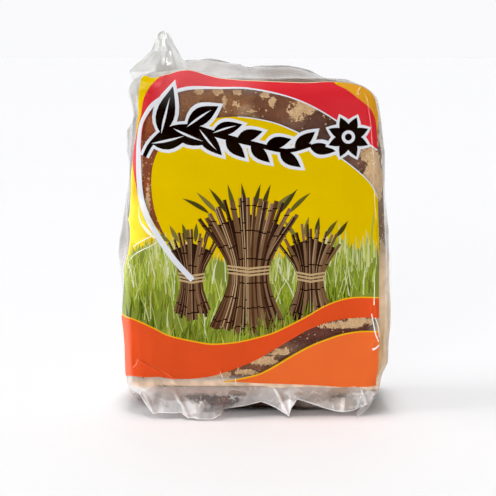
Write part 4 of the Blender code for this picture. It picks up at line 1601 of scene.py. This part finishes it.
def lap_seam():
    """A strip along the middle of the back, a little off the film, whose right edge is loose."""
    rows = []
    for k in range(LAP_ROWS + 1):
        t = LAP_FOOT + LAP_LENGTH * k / LAP_ROWS
        row = []
        for i in range(LAP_COLUMNS + 1):
            across = -LAP_HALF_WIDTH + 2 * LAP_HALF_WIDTH * i / LAP_COLUMNS
            base, normal, _ = skin(half_round(t) - abs(across), t)
            base.x = across
            lift = 0.35 + 0.5 * between(abs(across), 4.5, LAP_HALF_WIDTH) * (across > 0)
            row.append(worn(base) + normal * (ruffle(base) + lift))
        rows.append(row)
    return loft("lap_seam", rows, SEALED_FILM)


lap_seam_piece = lap_seam()
paint_film(lap_seam_piece, lambda p: (0.22, tint_of("#e9e6e2")))

# %% [markdown]
# ## Sugar grains
# Crystals have broken off the block and cling to it. A Geometry Nodes tree scatters points over the block
# with a fixed seed and puts a small rough crystal on each. The crystals are a few tenths of a millimetre,
# with only twenty faces each, because there are many.

# %% Scatter grains
def scatter_grains():
    """A tree that scatters small rough crystals over a surface."""
    tree, group_in, group_out = new_tree("loose sugar grains", {
        "Grains per m2": 0.0, "Grain size": 0.0, "Seed": 0})
    spots = add_node(tree, "GeometryNodeDistributePointsOnFaces", {
        "Mesh": group_in.outputs["Geometry"], "Density": group_in.outputs["Grains per m2"],
        "Seed": group_in.outputs["Seed"]})
    crystal = add_node(tree, "GeometryNodeMeshIcoSphere", {
        "Radius": group_in.outputs["Grain size"], "Subdivisions": 1})
    size = add_node(tree, "FunctionNodeRandomValue", {
        0: (0.5, 0.5, 0.4), 1: (1.5, 1.5, 1.0), "Seed": group_in.outputs["Seed"]}, data_type="FLOAT_VECTOR")
    placed = add_node(tree, "GeometryNodeInstanceOnPoints", {
        "Points": spots.outputs["Points"], "Instance": crystal.outputs["Mesh"],
        "Rotation": spots.outputs["Rotation"], "Scale": size.outputs[0]})
    return end_tree(tree, placed.outputs[0], group_out, SUGAR)


grains = link(bpy.data.objects.new("sugar_grains", slab.data.copy()))
run_tree(grains, scatter_grains(), {"Grains per m2": 90000.0, "Grain size": 0.00028, "Seed": 5})
paint(grains, "crust", lambda p: 0.3 + 0.5 * between(p.z, 8, 10))
paint(grains, "tone", tone_at)

# %% [markdown]
# ## Hand the pieces to the frame
# Every piece rides on the one body of the pack, and together they stand for its solid, which then isn't
# shown any more.

# %% Ride and replace
pieces = (slab, grains, film_piece, print_piece, ear_piece, top_seal_piece, foot_seal_piece,
          foot_wing_piece, lap_seam_piece)
for piece in pieces:
    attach(piece, "root")
    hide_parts("sealed_bag")
print("Handed", len(pieces), "pieces to the frame")

# %% [markdown]
# ## Floor
# The pack stands on a plain table with a matt white laminate. It is far larger than the view, so that its
# edge never shows.

# %% Floor
def table_top():
    """A flat square of matt white laminate, 8 m wide."""
    material, tree = new_material("matt white laminate table")
    shader = add_node(tree, "ShaderNodeBsdfPrincipled", {"Base Color": linear("#f8f8fa"), "Roughness": 0.7})
    add_node(tree, "ShaderNodeOutputMaterial", {"Surface": shader.outputs[0]})
    bm = bmesh.new()
    bmesh.ops.create_grid(bm, x_segments=1, y_segments=1, size=4000)
    return finish_piece("table", bm, material)


table_top()

# %% [markdown]
# ## Light
# A white table needs even light, and glossy film needs something to mirror, so the two jobs have lights of
# their own. Wide sources far away light the table and the block: a low key from the front left, a window
# on the left and a row of lamps on the ceiling, which together cast the soft shadow under the foot. Soft
# boxes that only show as reflections draw the bright lines on the film. The room is dark on the camera's
# side and white behind the pack, because film shows its shape by what it mirrors.

# %% Lamps
def put_lamp(name, light, place, aim):
    """Hangs a light at a place and turns it towards its aim."""
    lamp = link(bpy.data.objects.new(name, light))
    lamp.location = place
    lamp.rotation_euler = (Vector(aim) - Vector(place)).to_track_quat("-Z", "Y").to_euler()
    return lamp


def gleam(name, place, size, watts):
    """A soft box that only shows as a reflection in the film."""
    light = bpy.data.lights.new(name, "AREA")
    light.shape = "RECTANGLE"
    light.size, light.size_y = size
    light.energy = watts
    put_lamp(name, light, place, (0, 0, 0.06)).visible_diffuse = False


def even_light(name, place, strength, spread):
    """A wide source far away, which lights the table evenly and isn't seen in the film."""
    light = bpy.data.lights.new(name, "SUN")
    light.energy = strength
    light.angle = math.radians(spread)
    put_lamp(name, light, place, (0, 0, 0)).visible_glossy = False


gleam("key box", (-0.45, -0.75, 0.55), (0.6, 0.6), 6.0)
gleam("left strip", (-0.75, -0.12, 0.22), (0.3, 0.8), 3.0)
gleam("right strip", (0.45, -0.55, 0.2), (0.05, 0.7), 4.0)
even_light("key", (-0.35, -1.0, 0.1), 1.27, 30)
even_light("left window", (-1.0, -0.05, 0.4), 1.1, 30)
for lean in (-0.07, -0.01, 0.05):
    even_light("row of ceiling lamps", (lean, 0.08, 1.0), 0.535, 7)
print("The studio has", len(bpy.data.lights), "lamps")

# %% The room that the film mirrors
# How light the room is, from the camera's side (0) to the wall behind the pack (1).
ROOM_GREYS = ((0.16, 0.12), (0.36, 0.4), (0.6, 0.4), (0.88, 0.55), (0.96, 0.95))
world = bpy.data.worlds.new("white studio")
world.use_nodes = True
world.node_tree.nodes.clear()
direction = add_node(world.node_tree, "ShaderNodeTexCoord").outputs["Generated"]
parts = add_node(world.node_tree, "ShaderNodeSeparateXYZ", {0: direction})
depth = add_node(world.node_tree, "ShaderNodeMapRange", {"Value": parts.outputs["Y"], "From Min": -1.0})
room = add_node(world.node_tree, "ShaderNodeValToRGB", {"Fac": depth.outputs[0]})
room.color_ramp.elements[0].color = (0.06, 0.06, 0.06, 1)
room.color_ramp.elements[1].color = (0.95, 0.95, 0.966, 1)
for position, grey in ROOM_GREYS:
    room.color_ramp.elements.new(position).color = (grey, grey, grey, 1)
sky = add_node(world.node_tree, "ShaderNodeBackground", {"Color": room.outputs["Color"], "Strength": 1.0})
add_node(world.node_tree, "ShaderNodeOutputWorld", {"Surface": sky.outputs[0]})
bpy.context.scene.world = world
print("The room goes from dark to white in", len(room.color_ramp.elements), "steps")

# %% [markdown]
# ## View and camera
# The colours are shown as they are, with blacks that are a touch deeper. The camera stands half a metre
# away, a little above the pack, with a lens long enough to keep its sides upright.

# %% View
view = bpy.context.scene.view_settings
view.view_transform = "Standard"
view.use_curve_mapping = True
view.curve_mapping.black_level = (0.011, 0.011, 0.011)
view.curve_mapping.update()
print("The view transform is", view.view_transform)

# %% Camera
AIM = Vector((-3.3, -19.5, 58.7)) * MM
DISTANCE, ELEVATION, AZIMUTH = 0.52, math.radians(9), math.radians(0)
LENS = 108.7

camera = link(bpy.data.objects.new("camera", bpy.data.cameras.new("camera")))
back = Vector((math.sin(AZIMUTH) * math.cos(ELEVATION), -math.cos(AZIMUTH) * math.cos(ELEVATION),
               math.sin(ELEVATION)))
camera.location = AIM + DISTANCE * back
camera.rotation_euler = (-back).to_track_quat("-Z", "Y").to_euler()
camera.data.lens = LENS
bpy.context.scene.camera = camera
print("The camera stands %.0f mm from the front" % (DISTANCE / MM))
